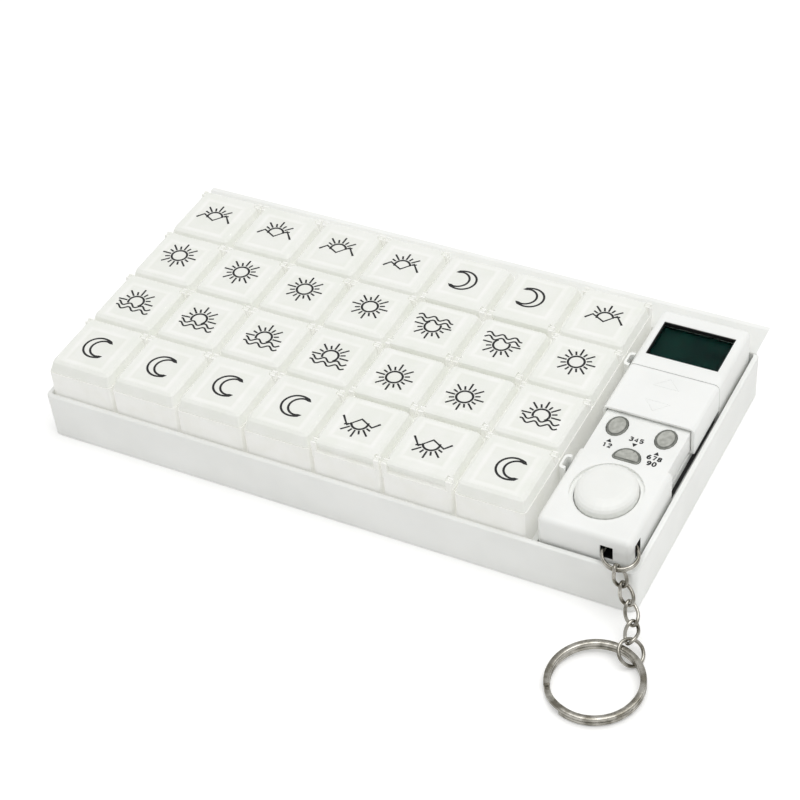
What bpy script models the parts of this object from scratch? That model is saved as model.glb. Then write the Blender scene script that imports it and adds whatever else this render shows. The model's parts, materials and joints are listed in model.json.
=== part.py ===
"""Electronic pill organizer: a shallow tray with seven lift-out strips of four lidded
compartments, and a lift-out reminder timer with a keychain in a bay at its right end.

Metres, +Z up, +X to the right and +Y to the back. The origin is the middle of the tray's underside.
"""

import math

import bmesh
import bpy
from mathutils import Matrix, Vector

# Shared fits and facets
GAP = 0.0003
OVERRUN = 0.0020
ROUND_SIDES = 32
SMALL_SIDES = 16
SCREW_SIDES = 12
DOME_SIDES = 24
KEY_SIDES = 16
PIN_SIDES = 6
CORNER_STEPS = 3
EDGE_STEPS = 2
SOFT_STEPS = 4
SMOOTH_ANGLE = math.radians(38)

# Tray
TRAY_HEIGHT = 0.0183
TRAY_WALL = 0.0018
TRAY_DRAFT = 0.0003
TRAY_CORNER = 0.0026
RIM_ROUND = 0.0009
FOOT_ROUND = 0.0006
LIP_TOP = 0.0252
LIP_REACH = 0.0064
LIP_OVERHANG = 0.0010
LIP_THICKNESS = 0.0016
LIP_ROUND = 0.0004
DIVIDER_ROOM = 0.0033
DIVIDER_THICKNESS = 0.0018
DIVIDER_HEIGHT = 0.0150
CLIP_LENGTH = 0.0070
CLIP_TOP = 0.0284
CLIP_BACK = 0.0008
CLIP_ARM = 0.0013
CLIP_ROUND = 0.0016
CLIP_PLACE_SHARES = (0.245, 0.745)
SHELF_THICKNESS = 0.0016
SHELF_END_ROOM = 0.0040
SHELF_PLACE_SHARES = (0.09, 0.46, 0.965)

# Strips of four compartments
STRIP_COUNT = 7
TURNED_STRIPS = (5, 6)
STRIP_WIDTH = 0.0253
STRIP_SPACING = 0.0007
STRIP_LENGTH = 0.1078
STRIP_END_PLAY = 0.0023
STRIP_TOP = 0.0280
STRIP_WALL = 0.0012
STRIP_FLOOR = 0.0014
STRIP_CORNER = 0.0016
STRIP_FOOT_ROUND = 0.0012
CELL_COUNT = 4
CELL_SCOOP = 0.0040
SCOOP_STEPS = 2

# Compartment lids
LID_MARGIN = 0.0002
LID_GAP = 0.0004
LID_HEIGHT = 0.0040
LID_PLATE = 0.0011
LID_WALL = 0.0011
LID_SIDE_SLOPE = 0.0011
LID_FRONT_SLOPE = 0.0016
LID_CORNER = 0.0014
LID_EDGE = 0.0008
BARREL_RADIUS = 0.0010
PIN_RADIUS = 0.00055
PIN_CLEARANCE = 0.00025
EAR_WIDTH = 0.0018
EAR_DEPTH = 0.0026
EAR_ROOT = 0.0030
EAR_MOUTH = math.radians(40)
EAR_ARC_STEPS = 3
PLUG_WIDTH = 0.0154
PLUG_LENGTH = 0.0180
PLUG_WALL = 0.0009
PLUG_DEPTH = 0.0012

# Timer shells
TIMER_WIDTH = 0.0322
TIMER_SIDE_GAP = 0.0010
TIMER_BOTTOM = 0.0095
TIMER_SPLIT = 0.0173
PANEL_TOP = 0.0280
TIMER_TOP = 0.0297
HEAD_LENGTH = 0.0309
TIMER_CORNER = 0.0022
TIMER_EDGE = 0.0020
TIMER_FOOT_ROUND = 0.0008
SHELL_CEILING = 0.0024
HEAD_CEILING = 0.0012
SHELL_FLOOR = 0.0022
CELL_BAY_WIDTH = 0.0248
HEAD_BAY_WIDTH = 0.0286
SHELL_FRONT_WALL = 0.0086
SHELL_REAR_WALL = 0.0053
SCREW_RADIUS = 0.0010
SCREW_HEAD_RADIUS = 0.0019
SCREW_HEAD_HEIGHT = 0.0010
SCREW_LENGTH = 0.0100
SCREW_SINK = 0.0004
FRONT_SCREW_SHARE = -0.30
SCREW_INSET_SHARE = 0.5

# Slide cover over the keys
TRACK_START = 0.0348
TRACK_DEPTH = 0.0015
TRACK_FOOT = 0.0125
COVER_LENGTH = 0.0231
COVER_SIDE = 0.0012
COVER_TOP = 0.0009
COVER_HOOK = 0.0009
COVER_HOOK_HEIGHT = 0.0010

# Display
WINDOW_WIDTH = 0.0259
WINDOW_FRONT_MARGIN = 0.0063
WINDOW_REAR_MARGIN = 0.0066
WINDOW_LAP = 0.0008
WINDOW_THICKNESS = 0.0008
PANEL_INSET = 0.0006

# Keys
ROUND_KEY_RADIUS = 0.0034
ROUND_KEY_REACH = 0.0046
ROUND_KEY_SPREAD = 0.0170
ROUND_KEY_PLACE = 0.0487
SET_KEY_RADIUS = 0.0046
SET_KEY_PLACE = 0.0355
SET_KEY_CUT = 0.0012
SET_KEY_CORNER = 0.0012
SET_KEY_STEPS = 10
KEY_CLEARANCE = 0.0003
KEY_PROUD = 0.0004
KEY_FLANGE = 0.0009
KEY_FLANGE_THICKNESS = 0.0008
KEY_POCKET = 0.0022
DOME_RADIUS = 0.0102
DOME_REACH = 0.0116
DOME_PLACE = 0.0193
DOME_PROUD = 0.0034
DOME_SHOULDER = 0.0004
DOME_STEPS = 7
DOME_ROUNDNESS_SHARE = 0.65
MOAT_RADIUS = 0.0120
MOAT_REACH = 0.0130
MOAT_DEPTH = 0.0012
DOME_FLANGE = 0.0005

# Inside the timer
BOARD_THICKNESS = 0.0010
BATTERY_RADIUS = 0.00525
BATTERY_LENGTH = 0.0437
BATTERY_NUB_RADIUS = 0.0019
BATTERY_NUB_LENGTH = 0.0008
BATTERY_EDGE = 0.0006
CONTACT_THICKNESS = 0.0005
CONTACT_WIDTH = 0.0080
CONTACT_REACH = 0.0085
BAY_WALL = 0.0016
BUZZER_RADIUS = 0.0065
BUZZER_HEIGHT = 0.0032
BUZZER_PORT_RADIUS = 0.0012
BUZZER_PORT_DEPTH = 0.0008
DOOR_THICKNESS = 0.0012
DOOR_WIDTH = 0.0218
DOOR_LEDGE = 0.0008
DOOR_GRIP_DEPTH = 0.0004
DOOR_GRIP_WIDTH = 0.0010
DOOR_GRIP_LENGTH = 0.0110
DOOR_GRIP_SHARES = (0.80, 0.85, 0.90)

# Keychain
CORNER_RING_RADIUS = 0.0057
CORNER_RING_WIRE = 0.0007
CORNER_RING_TILT = math.radians(9)
CORNER_RING_HEADING = math.radians(-80)
CORNER_RING_HEIGHT = 0.0218
CORNER_RING_INSET_X = 0.0037
CORNER_RING_INSET_Y = 0.0006
TUNNEL_WIDTH = 0.0044
TUNNEL_HEIGHT = 0.0056
TUNNEL_TOP = 0.0242
POST_WIDTH = 0.0061
POST_DEPTH = 0.0035
LINK_LENGTH = 0.0090
LINK_WIDTH = 0.0052
LINK_WIRE = 0.0006
LINK_TWIST = math.radians(97)
LINK_SLACK = 0.00025
LINK_LEANS = (math.radians(26), math.radians(38), math.radians(55), math.radians(73))
LINK_HEADINGS = (math.radians(-19), math.radians(-35), math.radians(-56), math.radians(-83))
LINK_POINTS = 18
LINK_ROUNDNESS_SHARE = 0.8
JUMP_RING_RADIUS = 0.0043
JUMP_RING_WIRE = 0.0006
JUMP_RING_TILT = math.radians(-37)
JUMP_RING_HEADING = math.radians(-112)
JUMP_RING_TURN = math.radians(68)
JUMP_RING_PLAY = 0.0009
SPLIT_RING_RADIUS = 0.0148
SPLIT_RING_WIDTH = 0.0020
SPLIT_RING_HEIGHT = 0.0014
SPLIT_RING_GAP = 0.0002
SPLIT_RING_LIFT = math.radians(2.9)
SPLIT_RING_STEPS = 26
RING_STEPS = 24
RING_SIDES = 8

# Worked out from the sizes above
COVER_FOOT = TRAY_HEIGHT + GAP * 2
STRIP_PITCH = STRIP_WIDTH + STRIP_SPACING
STRIPS_WIDTH = STRIP_PITCH * (STRIP_COUNT - 1) + STRIP_WIDTH
TIMER_BAY = DIVIDER_ROOM + TIMER_WIDTH + TIMER_SIDE_GAP
TRAY_INNER_X = (TRAY_DRAFT + GAP + STRIPS_WIDTH + TIMER_BAY) / 2
TRAY_INNER_Y = (TRAY_DRAFT * 2 + GAP + STRIP_LENGTH + STRIP_END_PLAY) / 2
TRAY_LENGTH = (TRAY_INNER_X + TRAY_WALL) * 2
TRAY_DEPTH = (TRAY_INNER_Y + TRAY_WALL) * 2
STRIP_BOTTOM = TRAY_WALL + GAP
STRIP_FIRST = -TRAY_INNER_X + TRAY_DRAFT + GAP + STRIP_WIDTH / 2
STRIP_MIDDLE_Y = -TRAY_INNER_Y + TRAY_DRAFT + GAP + STRIP_LENGTH / 2
CELL_PITCH = STRIP_LENGTH / CELL_COUNT
LID_BOTTOM = STRIP_TOP + GAP
HINGE_HEIGHT = LID_BOTTOM + LID_HEIGHT - BARREL_RADIUS
HINGE_INSET = GAP / 2 + EAR_DEPTH / 2
TIMER_LENGTH = (TRAY_INNER_Y - TIMER_SIDE_GAP) * 2
TRACK_END = TIMER_LENGTH - HEAD_LENGTH
WINDOW_START = TRACK_END + WINDOW_FRONT_MARGIN
WINDOW_LENGTH = HEAD_LENGTH - WINDOW_FRONT_MARGIN - WINDOW_REAR_MARGIN
TIMER_X = TRAY_INNER_X - TIMER_SIDE_GAP - TIMER_WIDTH / 2
TIMER_Y = -TIMER_LENGTH / 2
STRIPS_END = STRIP_FIRST - STRIP_WIDTH / 2 + STRIPS_WIDTH
DIVIDER_X = (STRIPS_END + TIMER_X - TIMER_WIDTH / 2) / 2
SHELL_SEAM = GAP / 2
BAY_TOP = PANEL_TOP - SHELL_CEILING
HEAD_BAY_TOP = TIMER_TOP - HEAD_CEILING
BAY_REAR = TIMER_LENGTH - SHELL_REAR_WALL
KEY_FLANGE_TOP = BAY_TOP - GAP
ROUND_KEY_STRETCH = ROUND_KEY_REACH / ROUND_KEY_RADIUS
DOME_STRETCH = DOME_REACH / DOME_RADIUS
MOAT_STRETCH = MOAT_REACH / MOAT_RADIUS
BATTERY_HEIGHT = TIMER_BOTTOM + DOOR_THICKNESS + GAP * 2 + BATTERY_RADIUS
BATTERY_SPREAD = BATTERY_RADIUS + GAP
BATTERY_REAR = BAY_REAR - GAP * 2 - CONTACT_THICKNESS
BATTERY_FRONT = BATTERY_REAR - BATTERY_LENGTH - BATTERY_NUB_LENGTH
BOARD_BOTTOM = BATTERY_HEIGHT + BATTERY_RADIUS + GAP
BOARD_TOP = BOARD_BOTTOM + BOARD_THICKNESS
BAY_WALL_REAR = BATTERY_FRONT - GAP * 2 - CONTACT_THICKNESS


def clear_scene():
    """Empty the scene of every object."""
    for item in list(bpy.data.objects):
        bpy.data.objects.remove(item, do_unlink=True)


def make_collection(name):
    """A new collection in the scene."""
    home = bpy.data.collections.new(name)
    bpy.context.scene.collection.children.link(home)
    return home


clear_scene()
PARTS = make_collection("pill_organizer")
CUTTERS = make_collection("cutters")


def finish_material(name, colour, roughness, metallic=0.0):
    """A Principled material of one colour."""
    material = bpy.data.materials.new(name)
    material.use_nodes = True
    shader = material.node_tree.nodes["Principled BSDF"]
    shader.inputs["Base Color"].default_value = (*colour, 1.0)
    shader.inputs["Roughness"].default_value = roughness
    shader.inputs["Metallic"].default_value = metallic
    return material


def smooth(mesh):
    """Shade the round faces smooth and keep the hard edges."""
    mesh.shade_smooth()
    mesh.set_sharp_from_angle(angle=SMOOTH_ANGLE)


def add_mesh(name, shape, home=None):
    """An object from a bmesh, with its faces pointing out."""
    bmesh.ops.recalc_face_normals(shape, faces=shape.faces)
    mesh = bpy.data.meshes.new(name)
    shape.to_mesh(mesh)
    shape.free()
    item = bpy.data.objects.new(name, mesh)
    (home or PARTS).objects.link(item)
    return item


def as_cutter(item):
    """Mark an object as a cutter or a joined piece of another one."""
    for home in list(item.users_collection):
        home.objects.unlink(item)
    CUTTERS.objects.link(item)
    item.hide_render = True
    item.display_type = 'WIRE'
    return item


def combine(target, tool, operation):
    """Cut the tool from the target, or join it to the target."""
    as_cutter(tool)
    tool.parent = target
    step = target.modifiers.new(tool.name, 'BOOLEAN')
    step.operation = operation
    step.object = tool
    return target


def cut(target, tool):
    """Take the tool's shape out of the target."""
    return combine(target, tool, 'DIFFERENCE')


def join(target, tool):
    """Make the tool's shape one with the target."""
    return combine(target, tool, 'UNION')


def applied_mesh(item, name):
    """The object's mesh with its modifiers applied."""
    bpy.context.view_layer.update()
    graph = bpy.context.evaluated_depsgraph_get()
    mesh = bpy.data.meshes.new_from_object(item.evaluated_get(graph))
    mesh.name = name
    return mesh


def drop(item):
    """Remove an object that only served to make a mesh, and its cutters."""
    for child in list(item.children):
        bpy.data.objects.remove(child, do_unlink=True)
    bpy.data.objects.remove(item, do_unlink=True)


def block(low, high):
    """A bmesh box between two corners."""
    low = Vector(low)
    high = Vector(high)
    shape = bmesh.new()
    size = Matrix.Diagonal(high - low).to_4x4()
    bmesh.ops.create_cube(shape, size=1, matrix=Matrix.Translation((low + high) / 2) @ size)
    return shape


def upright_edges(shape):
    """The edges of a bmesh that run from its lowest points to its highest."""
    heights = [vert.co.z for vert in shape.verts]
    middle = (min(heights) + max(heights)) / 2
    return [edge for edge in shape.edges
            if (edge.verts[0].co.z - middle) * (edge.verts[1].co.z - middle) < 0]


def level_edges(shape, top):
    """The outer edges of a bmesh at its top or at its bottom."""
    heights = [vert.co.z for vert in shape.verts]
    height = max(heights) if top else min(heights)
    return [edge for edge in shape.edges
            if all(abs(vert.co.z - height) < GAP / 100 for vert in edge.verts)]


def round_edges(shape, edges, width, steps):
    """Round some edges of a bmesh."""
    bmesh.ops.bevel(shape, geom=edges, offset=width, offset_type='OFFSET', segments=steps,
                    profile=0.5, affect='EDGES', clamp_overlap=True)


def add_box(name, low, high, home=None):
    """A plain box object."""
    return add_mesh(name, block(low, high), home)


def add_disc(name, radius, low, high, sides=ROUND_SIDES, place=(0, 0), stretch=1):
    """An upright cylinder between two heights, round or stretched along Y."""
    shape = bmesh.new()
    middle = Matrix.Translation((*place, (low + high) / 2)) @ Matrix.Diagonal((1, stretch, 1, 1))
    bmesh.ops.create_cone(shape, cap_ends=True, segments=sides, radius1=radius, radius2=radius,
                          depth=high - low, matrix=middle)
    return add_mesh(name, shape)


def add_outline(name, points, low, high):
    """A flat outline in the XY plane, raised between two heights."""
    curve = bpy.data.curves.new(name, 'CURVE')
    curve.dimensions = '2D'
    curve.fill_mode = 'BOTH'
    curve.extrude = (high - low) / 2
    line = curve.splines.new('POLY')
    line.points.add(len(points) - 1)
    for spot, (x, y) in zip(line.points, points):
        spot.co = (x, y, 0, 1)
    line.use_cyclic_u = True
    guide = bpy.data.objects.new(name + "_outline", curve)
    PARTS.objects.link(guide)
    mesh = applied_mesh(guide, name)
    bpy.data.objects.remove(guide, do_unlink=True)
    bpy.data.curves.remove(curve)
    shape = bmesh.new()
    shape.from_mesh(mesh)
    bpy.data.meshes.remove(mesh)
    bmesh.ops.remove_doubles(shape, verts=shape.verts, dist=GAP / 100)
    bmesh.ops.dissolve_limit(shape, angle_limit=math.radians(1), verts=shape.verts, edges=shape.edges)
    bmesh.ops.translate(shape, verts=shape.verts, vec=(0, 0, (high + low) / 2))
    return add_mesh(name, shape)


def stand_outline(item, turn):
    """Turn an outline's mesh so that its height runs along another axis."""
    item.data.transform(turn.to_4x4())
    return item


# An outline's X and Y become Y and Z, or X and Z, and its height becomes X, or Y
ALONG_X = Matrix(((0, 0, 1), (1, 0, 0), (0, 1, 0)))
ALONG_Y = Matrix(((1, 0, 0), (0, 0, -1), (0, 1, 0)))


def arc(centre, radius, start, end, steps):
    """Points along an arc, its ends included."""
    turns = [start + (end - start) * step / steps for step in range(steps + 1)]
    return [(centre[0] + radius * math.cos(turn), centre[1] + radius * math.sin(turn))
            for turn in turns]


def add_turned(name, profile, sides=ROUND_SIDES, closed=False):
    """A turned piece from a profile of radius and height, from the top down its outer side."""
    shape = bmesh.new()
    spots = [shape.verts.new((radius, 0, height)) for radius, height in profile]
    ends = spots[1:] + spots[:1] if closed else spots[1:]
    for first, second in zip(spots, ends):
        shape.edges.new((first, second))
    mesh = bpy.data.meshes.new(name)
    shape.to_mesh(mesh)
    shape.free()
    item = bpy.data.objects.new(name, mesh)
    PARTS.objects.link(item)
    turn = item.modifiers.new("turn", 'SCREW')
    turn.steps = sides
    turn.render_steps = sides
    turn.use_merge_vertices = True
    turn.merge_threshold = GAP / 100
    turn.use_smooth_shade = False
    return item


def fixed_mesh(item, change):
    """Turn an object's modifiers into its mesh, changed by a matrix."""
    mesh = applied_mesh(item, item.name)
    mesh.transform(change)
    item.modifiers.clear()
    item.data = mesh
    return item


def add_ring(name, radius, wire):
    """A plain wire ring in its own XY plane."""
    bpy.ops.mesh.primitive_torus_add(major_radius=radius, minor_radius=wire,
                                     major_segments=RING_STEPS, minor_segments=RING_SIDES)
    item = bpy.context.object
    item.name = name
    item.data.name = name
    for home in list(item.users_collection):
        home.objects.unlink(item)
    PARTS.objects.link(item)
    smooth(item.data)
    return item


def dress(item, material):
    """Give an object its material."""
    item.data.materials.clear()
    item.data.materials.append(material)
    return item


def build_tray(material):
    """The tray: drafted walls, a rear lip, a divider with two clips, and the timer's shelves."""
    shape = drafted_block(TRAY_LENGTH / 2, TRAY_DEPTH / 2, 0, TRAY_HEIGHT)
    round_edges(shape, upright_edges(shape), TRAY_CORNER, CORNER_STEPS)
    round_edges(shape, level_edges(shape, True), RIM_ROUND, EDGE_STEPS)
    round_edges(shape, level_edges(shape, False), FOOT_ROUND, EDGE_STEPS)
    tray = add_mesh("tray", shape)
    shape = drafted_block(TRAY_INNER_X, TRAY_INNER_Y, TRAY_WALL, TRAY_HEIGHT)
    round_edges(shape, upright_edges(shape), TRAY_CORNER - TRAY_WALL, EDGE_STEPS)
    round_edges(shape, level_edges(shape, False), FOOT_ROUND, EDGE_STEPS)
    for vert in shape.verts:
        if vert.co.z > TRAY_HEIGHT - GAP:
            vert.co.z += OVERRUN
    cut(tray, add_mesh("tray_space", shape))
    join(tray, build_lip())
    join(tray, build_divider())
    for share in SHELF_PLACE_SHARES:
        join(tray, build_shelf(share))
    return dress(tray, material)


def drafted_block(half_length, half_depth, low, high):
    """A block that is narrower at its foot by the tray's draft."""
    shape = block((-half_length, -half_depth, low), (half_length, half_depth, high))
    for vert in shape.verts:
        if vert.co.z < (low + high) / 2:
            vert.co.x -= math.copysign(TRAY_DRAFT, vert.co.x)
            vert.co.y -= math.copysign(TRAY_DRAFT, vert.co.y)
    return shape


def build_lip():
    """The rear lip, which leans back from the top of the rear wall and widens upwards."""
    outer = TRAY_DEPTH / 2
    inner = outer - TRAY_WALL
    reach = outer + LIP_REACH
    slope = LIP_THICKNESS * math.sqrt(2)
    root = TRAY_HEIGHT - LIP_THICKNESS
    points = [(inner, root), (outer, root), (outer, TRAY_HEIGHT), (reach, LIP_TOP - LIP_ROUND),
              (reach - LIP_ROUND, LIP_TOP), (reach - slope, LIP_TOP), (inner, TRAY_HEIGHT + LIP_ROUND)]
    half = TRAY_LENGTH / 2 + LIP_OVERHANG
    lip = stand_outline(add_outline("tray_lip", points, -half, half), ALONG_X)
    for vert in lip.data.vertices:
        share = (LIP_TOP - vert.co.z) / (LIP_TOP - TRAY_HEIGHT)
        vert.co.x -= math.copysign(share * (LIP_OVERHANG + TRAY_CORNER / 2), vert.co.x)
    return lip


def build_divider():
    """The wall between the strips and the timer, with two clips that hold the timer's side."""
    left = DIVIDER_X - DIVIDER_THICKNESS / 2
    right = DIVIDER_X + DIVIDER_THICKNESS / 2
    end = TRAY_INNER_Y + TRAY_WALL / 2
    divider = add_box("tray_divider", (left, -end, TRAY_WALL / 2), (right, end, DIVIDER_HEIGHT))
    for share in CLIP_PLACE_SHARES:
        join(divider, build_clip(left, share))
    return divider


def build_clip(left, share):
    """One clip: an upright of C section, open towards the timer."""
    middle = TIMER_Y + TIMER_LENGTH * share
    right = TIMER_X - TIMER_WIDTH / 2 - GAP
    long = CLIP_LENGTH / 2
    shape = block((left, middle - long, DIVIDER_HEIGHT / 2), (right, middle + long, CLIP_TOP))
    round_back(shape, left, CLIP_ROUND)
    clip = add_mesh("tray_clip", shape)
    long -= CLIP_ARM
    back = left + CLIP_BACK
    shape = block((back, middle - long, DIVIDER_HEIGHT + GAP),
                  (right + OVERRUN, middle + long, CLIP_TOP + OVERRUN))
    round_back(shape, back, CLIP_ROUND - CLIP_BACK)
    return cut(clip, add_mesh("tray_clip_pocket", shape))


def round_back(shape, back, width):
    """Round the two upright edges of a block that lie at its back, the side away from the timer."""
    edges = [edge for edge in upright_edges(shape) if edge.verts[0].co.x < back + GAP / 2]
    round_edges(shape, edges, width, CORNER_STEPS)


def build_shelf(share):
    """One cross rib that carries the timer, from the divider to short of the right wall."""
    middle = TIMER_Y + TIMER_LENGTH * share
    return add_box("tray_shelf", (DIVIDER_X, middle - SHELF_THICKNESS / 2, TRAY_WALL / 2),
                   (TRAY_INNER_X - SHELF_END_ROOM, middle + SHELF_THICKNESS / 2, TIMER_BOTTOM - GAP))


def strip_mesh():
    """A strip of four compartments, with a pair of hinge ears behind each one."""
    half = Vector((STRIP_WIDTH / 2, STRIP_LENGTH / 2))
    shape = block((-half.x, -half.y, 0), (half.x, half.y, STRIP_TOP - STRIP_BOTTOM))
    round_edges(shape, upright_edges(shape), STRIP_CORNER, EDGE_STEPS)
    round_edges(shape, level_edges(shape, False), STRIP_FOOT_ROUND, 1)
    strip = add_mesh("strip", shape)
    for number in range(CELL_COUNT):
        cut(strip, build_cell(number))
    for number in range(CELL_COUNT):
        for side in (-1, 1):
            join(strip, build_ear(hinge_line(number), side))
    mesh = applied_mesh(strip, "strip")
    drop(strip)
    smooth(mesh)
    return mesh


def hinge_line(number):
    """Where a compartment's hinge lies along its strip, counted from the rear."""
    return STRIP_LENGTH / 2 - CELL_PITCH * number - HINGE_INSET


def build_cell(number):
    """The space of one compartment, with a rounded floor."""
    rear = STRIP_LENGTH / 2 - CELL_PITCH * number
    half = STRIP_WIDTH / 2 - STRIP_WALL
    first = rear - CELL_PITCH + (STRIP_WALL if number == CELL_COUNT - 1 else STRIP_WALL / 2)
    last = rear - (STRIP_WALL if number == 0 else STRIP_WALL / 2)
    low = STRIP_FLOOR + CELL_SCOOP
    top = STRIP_TOP - STRIP_BOTTOM + OVERRUN
    points = arc((first + CELL_SCOOP, low), CELL_SCOOP, math.pi, math.pi * 1.5, SCOOP_STEPS)
    points += arc((last - CELL_SCOOP, low), CELL_SCOOP, math.pi * 1.5, math.tau, SCOOP_STEPS)
    points += [(last, top), (first, top)]
    return stand_outline(add_outline("strip_cell", points, -half, half), ALONG_X)


def build_ear(line, side):
    """One hinge ear: a lug with a snap mouth for the lid's pin."""
    height = HINGE_HEIGHT - STRIP_BOTTOM
    reach = EAR_DEPTH / 2
    bore = PIN_RADIUS + PIN_CLEARANCE
    rise = bore * math.sin(EAR_MOUTH)
    root = STRIP_TOP - EAR_ROOT - STRIP_BOTTOM
    mouth = arc((line, height), bore, EAR_MOUTH, -math.pi - EAR_MOUTH, EAR_ARC_STEPS)
    points = [(line - reach, root + reach), (line + reach - GAP, root), (line + reach, height + rise)]
    points += mouth + [(line - reach, height + rise)]
    outer = STRIP_WIDTH / 2 - LID_MARGIN
    ear = add_outline("strip_ear", points, outer - EAR_WIDTH, outer)
    stand_outline(ear, ALONG_X)
    if side < 0:
        ear.data.transform(Matrix.Translation((EAR_WIDTH - outer * 2, 0, 0)))
    return ear


def lid_mesh():
    """A compartment lid: a shallow cap with a hinge barrel, two pins and a plug rim inside."""
    half = STRIP_WIDTH / 2 - LID_MARGIN
    front = HINGE_INSET + LID_GAP / 2 - CELL_PITCH
    shape = block((-half, front, BARREL_RADIUS - LID_HEIGHT), (half, 0, BARREL_RADIUS))
    slope_top(shape, LID_SIDE_SLOPE, LID_FRONT_SLOPE)
    uprights = [edge for edge in upright_edges(shape) if edge.verts[0].co.y < front / 2]
    round_edges(shape, uprights, LID_CORNER, EDGE_STEPS)
    rims = [edge for edge in level_edges(shape, True)
            if min(vert.co.y for vert in edge.verts) < front / 100]
    round_edges(shape, rims, LID_EDGE, 1)
    lid = add_mesh("lid", shape)
    notch = half - EAR_WIDTH - GAP
    rear = -EAR_DEPTH / 2 - GAP
    join(lid, build_barrel(notch))
    cut(lid, build_lid_hollow(half, front, rear))
    for side in (-1, 1):
        low = min(side * notch, side * (half + OVERRUN))
        high = max(side * notch, side * (half + OVERRUN))
        cut(lid, add_box("lid_notch", (low, rear, -LID_HEIGHT - OVERRUN), (high, OVERRUN, OVERRUN)))
        join(lid, build_pin(side, notch, half))
    join(lid, build_plug(front, rear))
    mesh = applied_mesh(lid, "lid")
    drop(lid)
    smooth(mesh)
    return mesh


def slope_top(shape, side, front):
    """Lean the sides and the front of a block inwards to its top."""
    top = max(vert.co.z for vert in shape.verts)
    first = min(vert.co.y for vert in shape.verts)
    for vert in shape.verts:
        if vert.co.z > top - GAP:
            vert.co.x -= math.copysign(side, vert.co.x)
            if vert.co.y < first + GAP:
                vert.co.y += front


def build_barrel(reach):
    """The round rear edge of a lid, on its hinge axis."""
    points = arc((0, 0), BARREL_RADIUS, math.pi / 2, -math.pi / 2, PIN_SIDES // 2)
    points += [(-BARREL_RADIUS, -BARREL_RADIUS), (-BARREL_RADIUS, BARREL_RADIUS - GAP / 10)]
    return stand_outline(add_outline("lid_barrel", points, -reach, reach), ALONG_X)


def build_pin(side, notch, half):
    """One hinge pin, from the barrel's end into the ear."""
    start = side * (notch - BARREL_RADIUS)
    end = side * (half - GAP)
    shape = bmesh.new()
    turn = Matrix.Rotation(math.pi / 2, 4, 'Y')
    bmesh.ops.create_cone(shape, cap_ends=True, segments=PIN_SIDES, radius1=PIN_RADIUS,
                          radius2=PIN_RADIUS, depth=abs(end - start),
                          matrix=Matrix.Translation(((start + end) / 2, 0, 0)) @ turn)
    return add_mesh("lid_pin", shape)


def build_lid_hollow(half, front, rear):
    """The hollow under a lid's plate."""
    shape = block((LID_WALL - half, front + LID_WALL, -LID_HEIGHT),
                  (half - LID_WALL, rear - LID_WALL, BARREL_RADIUS - LID_PLATE))
    slope_top(shape, LID_SIDE_SLOPE, LID_FRONT_SLOPE)
    return add_mesh("lid_hollow", shape)


def build_plug(front, rear):
    """The rectangular rim under a lid's plate, which keeps it square in the compartment."""
    middle = (front + rear) / 2
    ceiling = BARREL_RADIUS - LID_PLATE
    wide = PLUG_WIDTH / 2
    long = PLUG_LENGTH / 2
    rim = add_box("lid_plug", (-wide, middle - long, ceiling - PLUG_DEPTH),
                  (wide, middle + long, ceiling + LID_PLATE / 2))
    wide -= PLUG_WALL
    long -= PLUG_WALL
    return cut(rim, add_box("lid_plug_space", (-wide, middle - long, ceiling - PLUG_DEPTH - OVERRUN),
                            (wide, middle + long, ceiling + LID_PLATE)))


def build_strips(strip_material, lid_material):
    """Seven strips side by side, each with four lids."""
    strip_shape = strip_mesh()
    lid_shape = lid_mesh()
    strip_shape.materials.append(strip_material)
    lid_shape.materials.append(lid_material)
    for number in range(1, STRIP_COUNT + 1):
        strip = bpy.data.objects.new(f"strip_{number}", strip_shape)
        PARTS.objects.link(strip)
        strip.location = (STRIP_FIRST + STRIP_PITCH * (number - 1), STRIP_MIDDLE_Y, STRIP_BOTTOM)
        if number in TURNED_STRIPS:
            strip.rotation_euler = (0, 0, math.pi)
        for row in range(CELL_COUNT):
            lid = bpy.data.objects.new(f"lid_{number}_{row + 1}", lid_shape)
            PARTS.objects.link(lid)
            lid.parent = strip
            lid.location = (0, hinge_line(row), HINGE_HEIGHT - STRIP_BOTTOM)


def body_outline():
    """The plan of the upper shell from its front to inside the head."""
    half = TIMER_WIDTH / 2
    side = half - TIMER_CORNER
    rear = TRACK_END + SHELL_CEILING
    points = arc((side, TIMER_CORNER), TIMER_CORNER, -math.pi / 2, 0, CORNER_STEPS)
    points += [(half, rear), (-half, rear)]
    points += arc((-side, TIMER_CORNER), TIMER_CORNER, math.pi, math.pi * 1.5, CORNER_STEPS)
    return points


def head_outline():
    """The plan of the raised head around the display."""
    half = TIMER_WIDTH / 2
    high = TIMER_LENGTH - TIMER_CORNER
    side = half - TIMER_CORNER
    points = [(half, TRACK_END)]
    points += arc((side, high), TIMER_CORNER, 0, math.pi / 2, CORNER_STEPS)
    points += arc((-side, high), TIMER_CORNER, math.pi / 2, math.pi, CORNER_STEPS)
    return points + [(-half, TRACK_END)]


def rounded_outline(name, points, low, high, width, top, steps=EDGE_STEPS, square=None):
    """A raised outline with its top or its bottom edge rounded, but for an edge square to Y at a
    given place."""
    item = add_outline(name, points, low, high)
    shape = bmesh.new()
    shape.from_mesh(item.data)
    edges = level_edges(shape, top)
    if square is not None:
        edges = [edge for edge in edges if max(abs(vert.co.y - square) for vert in edge.verts) > GAP]
    round_edges(shape, edges, width, steps)
    shape.to_mesh(item.data)
    shape.free()
    return item


def board_outline(inset):
    """The plan of the space for the board: straight sides and a round front around the dome."""
    half = CELL_BAY_WIDTH / 2 - inset
    rear = BAY_REAR - inset
    points = arc((0, DOME_PLACE), half, -math.pi, 0, SMALL_SIDES)
    return points + [(half, rear), (-half, rear)]


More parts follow.
